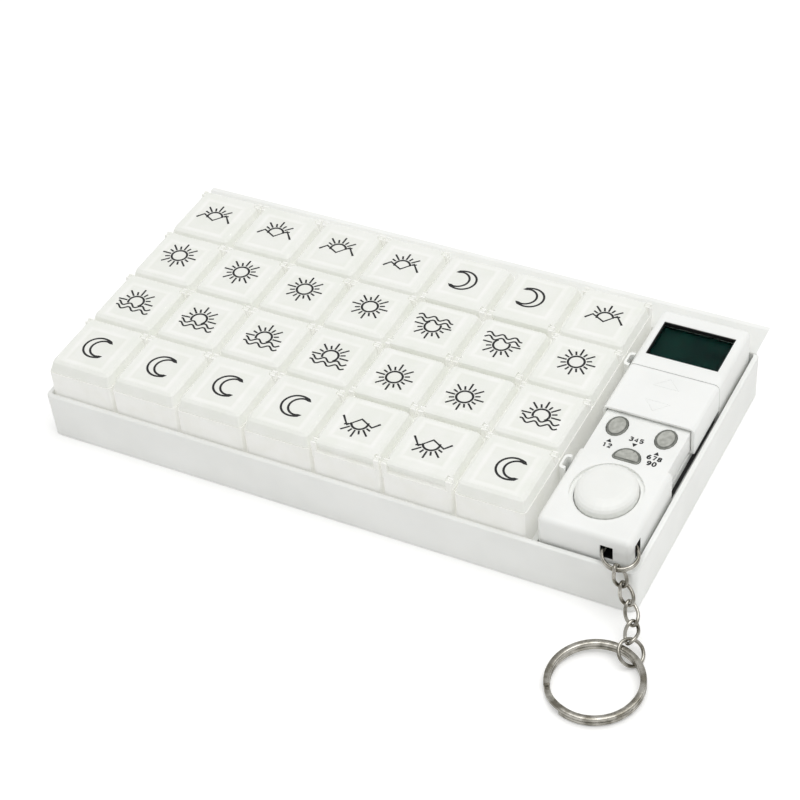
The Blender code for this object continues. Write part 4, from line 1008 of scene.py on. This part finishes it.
# Each digit is one line through points in a box one high, about the digit's own middle.
DIGITS = {
    "0": ((-0.3, 0.25), (-0.12, 0.5), (0.12, 0.5), (0.3, 0.25), (0.3, -0.25), (0.12, -0.5),
          (-0.12, -0.5), (-0.3, -0.25), (-0.3, 0.25)),
    "1": ((-0.2, 0.3), (0.05, 0.5), (0.05, -0.5)),
    "2": ((-0.3, 0.3), (-0.12, 0.5), (0.15, 0.5), (0.3, 0.27), (0.2, 0.02), (-0.3, -0.5),
          (0.32, -0.5)),
    "3": ((-0.28, 0.42), (0.0, 0.5), (0.28, 0.38), (0.25, 0.1), (0.0, 0.02), (0.3, -0.12),
          (0.3, -0.38), (0.0, -0.5), (-0.3, -0.4)),
    "4": ((0.15, -0.5), (0.15, 0.5), (-0.33, -0.2), (0.33, -0.2)),
    "5": ((0.28, 0.5), (-0.25, 0.5), (-0.28, 0.05), (0.1, 0.12), (0.3, -0.12), (0.25, -0.4),
          (0.0, -0.5), (-0.3, -0.42)),
    "6": ((0.25, 0.45), (-0.05, 0.5), (-0.3, 0.15), (-0.3, -0.3), (-0.05, -0.5), (0.25, -0.4),
          (0.3, -0.12), (0.05, 0.08), (-0.28, -0.08)),
    "7": ((-0.3, 0.5), (0.3, 0.5), (-0.05, -0.5)),
    "8": ((0.0, 0.5), (0.26, 0.38), (0.24, 0.14), (-0.26, -0.12), (-0.3, -0.38), (0.0, -0.5),
          (0.3, -0.38), (0.26, -0.12), (-0.24, 0.14), (-0.26, 0.38), (0.0, 0.5)),
    "9": ((-0.25, -0.45), (0.05, -0.5), (0.3, -0.15), (0.3, 0.3), (0.05, 0.5), (-0.25, 0.4),
          (-0.3, 0.12), (-0.05, -0.08), (0.28, 0.08)),
}


@dataclass(frozen=True)
class TimerDressing:
    """The reminder timer: shells, slide cover, display, keys, printed marks and what is inside.

    Places are counted from the middle of its front edge, and heights from the table.
    """

    finishes: dict[str, Material]
    front: Vector
    sharp_nodes: tuple[tuple[str, str], ...] = (
        ("stop_dome", "dome"), ("display_window", "window"), ("display_panel", "display"),
        ("circuit_board", "board"), ("battery_left", "cell_left"), ("battery_right", "cell_right"),
        ("battery_bridge", "nickel"), ("buzzer", "buzzer"))
    round_nodes: tuple[tuple[str, float, float, tuple[str, ...]], ...] = (
        ("white", 0.16 * MM, 28.0,
         ("timer_top_shell", "timer_back_shell", "battery_door", "slide_cover")),
        ("nickel", 0.12 * MM, 40.0, ("screw_front", "screw_rear")),
        ("key", 0.12 * MM, 35.0, ("hour_key", "minute_key", "set_key")))
    panel_top: float = 28.0 * MM
    cover_top: float = 29.7 * MM
    oval_key: Point = mm(3.4, 4.6)
    oval_steps: int = 48
    oval_spread: float = 8.5 * MM
    oval_place: float = 48.7 * MM
    set_key: float = 4.6 * MM
    set_place: float = 35.5 * MM
    set_cut: float = 1.2 * MM
    set_corner: float = 1.2 * MM
    set_steps: tuple[int, int] = (6, 32)
    set_notch: tuple[Point, ...] = (mm(1.5, 4.0), (*mm(1.25, 3.2), 0.6))
    rim_inset: float = 0.1 * MM
    rim_width: float = 0.6 * MM
    rim_flatness: float = 0.4
    mark_stroke: float = 0.58 * MM
    mark_flatness: float = 0.12
    mark_lift: float = 0.25
    mark_radius: float = 1.05 * MM
    mark_film: float = 0.03 * MM
    up_marks: tuple[Point, ...] = (mm(-8.26, 41.2), mm(8.3, 41.1))
    down_mark: Point = mm(0.0, 42.5)
    digit_height: float = 1.7 * MM
    digit_pitch: float = 1.8 * MM
    numbers: tuple[tuple[Point, str], ...] = (
        (mm(-8.17, 39.06), "12"), (mm(-0.18, 44.8), "345"), (mm(8.34, 39.0), "678"),
        (mm(8.38, 36.35), "90"))
    arrow_stroke: float = 0.45 * MM
    arrow_flatness: float = 0.3
    arrow_up: tuple[Point, ...] = (mm(-4.4, 70.4), mm(0.0, 75.0), mm(4.4, 70.4))
    arrow_down: tuple[Point, ...] = (mm(-4.4, 63.0), mm(0.0, 58.4), mm(4.4, 63.0))
    black_frame_wall: float = 0.35 * MM
    black_frame_top: float = 29.5 * MM
    opening: Point = mm(-12.95, 84.4, 12.95, 102.4)
    slack: float = 0.03 * MM
    tunnel_low: Point = mm(5.6, 0.6, 18.6)
    tunnel_high: Point = mm(16.1, 7.9, 24.2)
    post_cut: float = 3.4 * MM
    track: Point = mm(14.6, 34.9, 78.0)
    track_height: Point = mm(12.6, 16.2)
    lining: float = 0.05 * MM
    lining_round: float = 0.015 * MM

    def dress(self) -> None:
        """Finish every piece of the timer."""
        for node, finish in self.sharp_nodes:
            paint(node, self.finishes[finish])
        for finish, width, angle, nodes in self.round_nodes:
            for node in nodes:
                paint(node, self.finishes[finish])
                soften(node, width, angle=angle)
        self.rim_keys()
        self.print_marks()
        self.mould_arrows()
        self.fit_black_frame()
        self.shade_tunnel_walls()
        self.shade_track_slots()

    def level_at(self, x: float, y: float, height: float) -> Matrix:
        """A level drawing plane at a place on the timer."""
        return Matrix.Translation(self.front + Vector((x, y, height)))

    def rim_keys(self) -> None:
        """Give the keys their raised dark rims. Their dark grey is partly the rims' own colour and
        partly painted shade for the gap around each key.
        """
        inset = self.rim_inset + self.rim_width / 2
        wide, long = (half - inset for half in self.oval_key)
        last = 360.0 - 360.0 / self.oval_steps
        circle = around((0.0, 0.0), 1.0, 0.0, last, self.oval_steps - 1)
        oval = [([(x * wide, y * long) for x, y in circle], True)]
        moon = [(self.moon_outline(inset), True), (self.set_notch, False)]
        for node, strokes, x, y in (("hour_key", oval, -self.oval_spread, self.oval_place),
                                    ("minute_key", oval, self.oval_spread, self.oval_place),
                                    ("set_key", moon, 0.0, self.set_place)):
            shape = draw_strokes(strokes, self.rim_width, self.rim_flatness,
                                 self.level_at(x, y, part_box(node)[1][2]))
            keep_piece(node + "_rim", shape, self.finishes["rim"], node)

    def moon_outline(self, inset: float) -> list[Point]:
        """The middle key's outline: an arc, and a straight front between two round corners.

        Args:
            inset: How far the outline is drawn in.

        Returns:
            Its points about the key's middle.
        """
        corner = self.set_corner - inset
        few, many = self.set_steps
        low = self.set_corner - self.set_cut
        side = math.sqrt((self.set_key - self.set_corner) ** 2 - low ** 2)
        turn = math.degrees(math.atan2(low, side))
        points = around((side, low), corner, -90.0, turn, few)
        points += around((0.0, 0.0), self.set_key - inset, turn, 180.0 - turn, many)[1:-1]
        return points + around((-side, low), corner, 180.0 - turn, 270.0, few)

    def print_marks(self) -> None:
        """Print the small filled triangles and the numbers beside the keys."""
        shape = bmesh.new()
        for spots, turn in ((self.up_marks, 0.0), ((self.down_mark,), math.pi)):
            for x, y in spots:
                place = self.level_at(x, y, self.panel_top + self.mark_film / 2)
                bmesh.ops.create_cone(shape, cap_ends=True, segments=3, radius1=self.mark_radius,
                                      radius2=self.mark_radius, depth=self.mark_film,
                                      matrix=place @ Matrix.Rotation(turn, 4, 'Z'))
        keep_piece("timer_triangles", shape, self.finishes["ink"], "timer_top_shell")
        strokes = []
        for (x, y), number in self.numbers:
            for place, digit in enumerate(number):
                start = x + (place - (len(number) - 1) / 2) * self.digit_pitch
                strokes.append(([(start + along * self.digit_height, y + up * self.digit_height)
                                 for along, up in DIGITS[digit]], False))
        lift = self.mark_stroke * self.mark_flatness * self.mark_lift
        shape = draw_strokes(strokes, self.mark_stroke, self.mark_flatness,
                             self.level_at(0.0, 0.0, self.panel_top + lift))
        keep_piece("timer_numbers", shape, self.finishes["ink"], "timer_top_shell")

    def mould_arrows(self) -> None:
        """Raise the two faint arrows on the slide cover."""
        shape = draw_strokes([(self.arrow_up, True), (self.arrow_down, True)], self.arrow_stroke,
                             self.arrow_flatness, self.level_at(0.0, 0.0, self.cover_top))
        keep_piece("cover_arrows", shape, self.finishes["white"], "slide_cover")

    def fit_black_frame(self) -> None:
        """Stand a thin black frame on the window, along the walls of the display's opening."""
        low_x, low_y, high_x, high_y = self.opening
        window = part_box("display_window")[1][2]
        half = ((high_x - low_x) / 2 - self.slack, (high_y - low_y) / 2 - self.slack, 1.0, 1.0)
        middle = self.level_at((low_x + high_x) / 2, (low_y + high_y) / 2, window)
        shape = bmesh.new()
        bmesh.ops.create_grid(shape, x_segments=1, y_segments=1, size=1.0,
                              matrix=middle @ Matrix.Diagonal(half))
        face = shape.faces[:][0]
        bmesh.ops.inset_individual(shape, faces=[face], thickness=self.black_frame_wall,
                                   use_even_offset=True)
        bmesh.ops.delete(shape, geom=[face], context='FACES_ONLY')
        made = bmesh.ops.extrude_face_region(shape, geom=shape.faces[:])
        raised = [item for item in made["geom"] if isinstance(item, bmesh.types.BMVert)]
        bmesh.ops.translate(shape, vec=(0.0, 0.0, self.black_frame_top - window), verts=raised)
        bmesh.ops.recalc_face_normals(shape, faces=shape.faces)
        keep_piece("display_black_frame", shape, self.finishes["black_liner"], "timer_top_shell")

    def shade_tunnel_walls(self) -> None:
        """Line the walls of the ring's tunnel with a thin black sheet: painted shade that darkens the
        tunnel as its deep shadow would.
        """
        low, high = Vector(self.tunnel_low), Vector(self.tunnel_high)
        middle = self.front + (low + high) / 2
        shape = bmesh.new()
        add_block(shape, middle, high - low - Vector((self.slack,) * 3) * 2)
        post = [edge for edge in shape.edges
                if all(point.co.x > middle.x and point.co.y < middle.y for point in edge.verts)]
        round_off(shape, post, self.post_cut)
        open_faces = [face for face in shape.faces if face.normal.y < -0.5 or face.normal.x > 0.5]
        bmesh.ops.delete(shape, geom=open_faces, context='FACES')
        bmesh.ops.solidify(shape, geom=shape.faces[:], thickness=self.lining)
        bmesh.ops.recalc_face_normals(shape, faces=shape.faces)
        keep_piece("tunnel_painted_shade", shape, self.finishes["black_liner"], "timer_top_shell")

    def shade_track_slots(self) -> None:
        """Lay one thin black strip along each side of the neck, below the slide cover: painted shade
        for the dark slot there.
        """
        wall, start, end = self.track
        low, high = self.track_height
        shape = bmesh.new()
        for side in (-1, 1):
            middle = Vector((side * (wall + self.lining), (start + end) / 2, (low + high) / 2))
            add_block(shape, self.front + middle, (self.lining, end - start, high - low))
        round_off(shape, shape.edges[:], self.lining_round)
        keep_piece("track_painted_shade", shape, self.finishes["black_liner"], "timer_back_shell")


@dataclass(frozen=True)
class Studio:
    """The pale floor, the soft lamp and the camera of the photograph."""

    floor_size: float = 6.0
    camera_place: Point = (0.278947, -0.478263, 0.499969)
    camera_right: Point = (0.890726, 0.449122, -0.069976)
    camera_down: Point = (0.253853, -0.619227, -0.743046)
    camera_ahead: Point = (-0.377049, 0.644086, -0.665572)
    lens: float = 95.0255
    sensor: float = 36.0
    world_light: float = 0.59
    lamp_power: float = 8.8
    lamp_size: float = 1.2
    lamp_place: Point = (0.25, 0.05, 1.3)

    def build(self) -> None:
        """Make everything around the object."""
        self.build_floor()
        self.build_world()
        self.build_lamp()
        self.build_camera()
        bpy.context.scene.view_settings.view_transform = 'Standard'

    def build_floor(self) -> None:
        """A plain white table top."""
        shape = bmesh.new()
        bmesh.ops.create_grid(shape, x_segments=1, y_segments=1, size=self.floor_size / 2)
        keep_piece("floor", shape, TableTop().make())

    def build_world(self) -> None:
        """Even light from all round, seen as white by the camera and through the window."""
        world = bpy.data.worlds.new("soft_box")
        bpy.context.scene.world = world
        world.use_nodes = True
        back = world.node_tree.nodes["Background"]
        paths = add_node(back, "LightPath").outputs
        seen = add_node(back, "Math", {"operation": 'MAXIMUM'},
                        {0: paths["Is Camera Ray"], 1: paths["Is Transmission Ray"]})
        level = add_node(back, "MapRange", {"To Min": self.world_light, "To Max": 1.0}, {"Value": seen})
        fill_node(back, {"Color": linear("FFFFFF")}, {"Strength": level})

    def build_lamp(self) -> None:
        """A square soft lamp that points at the object."""
        light = bpy.data.lights.new("overhead_lamp", 'AREA')
        light.shape = 'SQUARE'
        light.size = self.lamp_size
        light.energy = self.lamp_power
        lamp = add_object("overhead_lamp", light)
        lamp.location = self.lamp_place
        lamp.rotation_euler = (-Vector(self.lamp_place)).to_track_quat('-Z', 'Y').to_euler()

    def build_camera(self) -> None:
        """The photograph's camera."""
        data = bpy.data.cameras.new("photo_camera")
        data.lens = self.lens
        data.sensor_width = self.sensor
        camera = add_object("photo_camera", data)
        axes = (Vector(self.camera_right), -Vector(self.camera_down), -Vector(self.camera_ahead))
        camera.matrix_world = Matrix.Translation(self.camera_place) @ Matrix(axes).transposed().to_4x4()
        bpy.context.scene.camera = camera


def rim_place(strip: int, shift: float = 0.5 * MM) -> Point:
    """Find the rim under a strip's first lid, which lies a little nearer to the lid's free edge.

    Args:
        strip: The strip's number.
        shift: How much nearer the rim lies.

    Returns:
        The rim's middle.
    """
    low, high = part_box(f"lid_{strip}_1")
    if strip not in TURNED_STRIPS:
        shift = -shift
    return (low[0] + high[0]) / 2, (low[1] + high[1]) / 2 + shift


def make_finishes() -> dict[str, Material]:
    """Make every finish.

    Returns:
        The finishes by their short names.
    """
    board_thickness = 1.02 * MM
    board_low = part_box("circuit_board")[1][2] - board_thickness
    front, back = (corner[1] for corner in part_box("battery_left"))
    finishes = {
        "white": MouldedPlastic("white_abs", "F9FAF7", "F3F4F1", 0.36),
        "dome": MouldedPlastic("white_dome", "F7F8F4", "F1F2EE", 0.34),
        "strip": FrostedPlastic("frosted_strip", "E4E4E1", "E0E0DB"),
        "lid": FrostedPlastic("frosted_lid", "E3E3E0", "DFE0DB", rim_place(1)),
        "turned_lid": FrostedPlastic("frosted_lid_turned", "E3E3E0", "DFE0DB", rim_place(5)),
        "ink": PrintInk(),
        "nickel": NickelPlate(),
        "key": KeyRubber("grey_key_rubber", "BCBDB6", "A3A49D"),
        # The rims' dark grey is partly their own colour and partly painted shade for the gap around
        # each key.
        "rim": KeyRubber("dark_key_rim_and_gap_shade", "7A7C76", "656761"),
        "display": DisplayGlass(),
        "window": ClearWindow(),
        "board": SolderMask("green_board", "1E6B3A", "17572F", "C9C6BE", board_low),
        "cell_left": CellWrap("cell_wrap_left", back, front),
        "cell_right": CellWrap("cell_wrap_right", front, back),
        "buzzer": MouldedPlastic("black_buzzer", "1D1E20", "151618", 0.4),
        # Black for the display's frame, and painted shade for the tunnel and the tracks.
        "black_liner": MouldedPlastic("black_frame_and_shade_liner", "0B0C0B", "070807", 0.6),
    }
    return {name: finish.make() for name, finish in finishes.items()}


def main() -> None:
    """Dress the frame and set up the studio."""
    logging.basicConfig(level=logging.INFO, format="%(message)s")
    Studio().build()
    finishes = make_finishes()
    TrayDressing(finishes).dress()
    low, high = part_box("timer_back_shell")
    front = Vector(((low[0] + high[0]) / 2, low[1], 0.0))
    TimerDressing(finishes, front).dress()
    signs = PrintedSigns(finishes["ink"])
    for strip in STRIPS:
        for sign in Sign:
            signs.print_on(strip, sign)
    Keychain(finishes["nickel"], front, high[0] - low[0]).build()


if __name__ == "__main__":
    main()
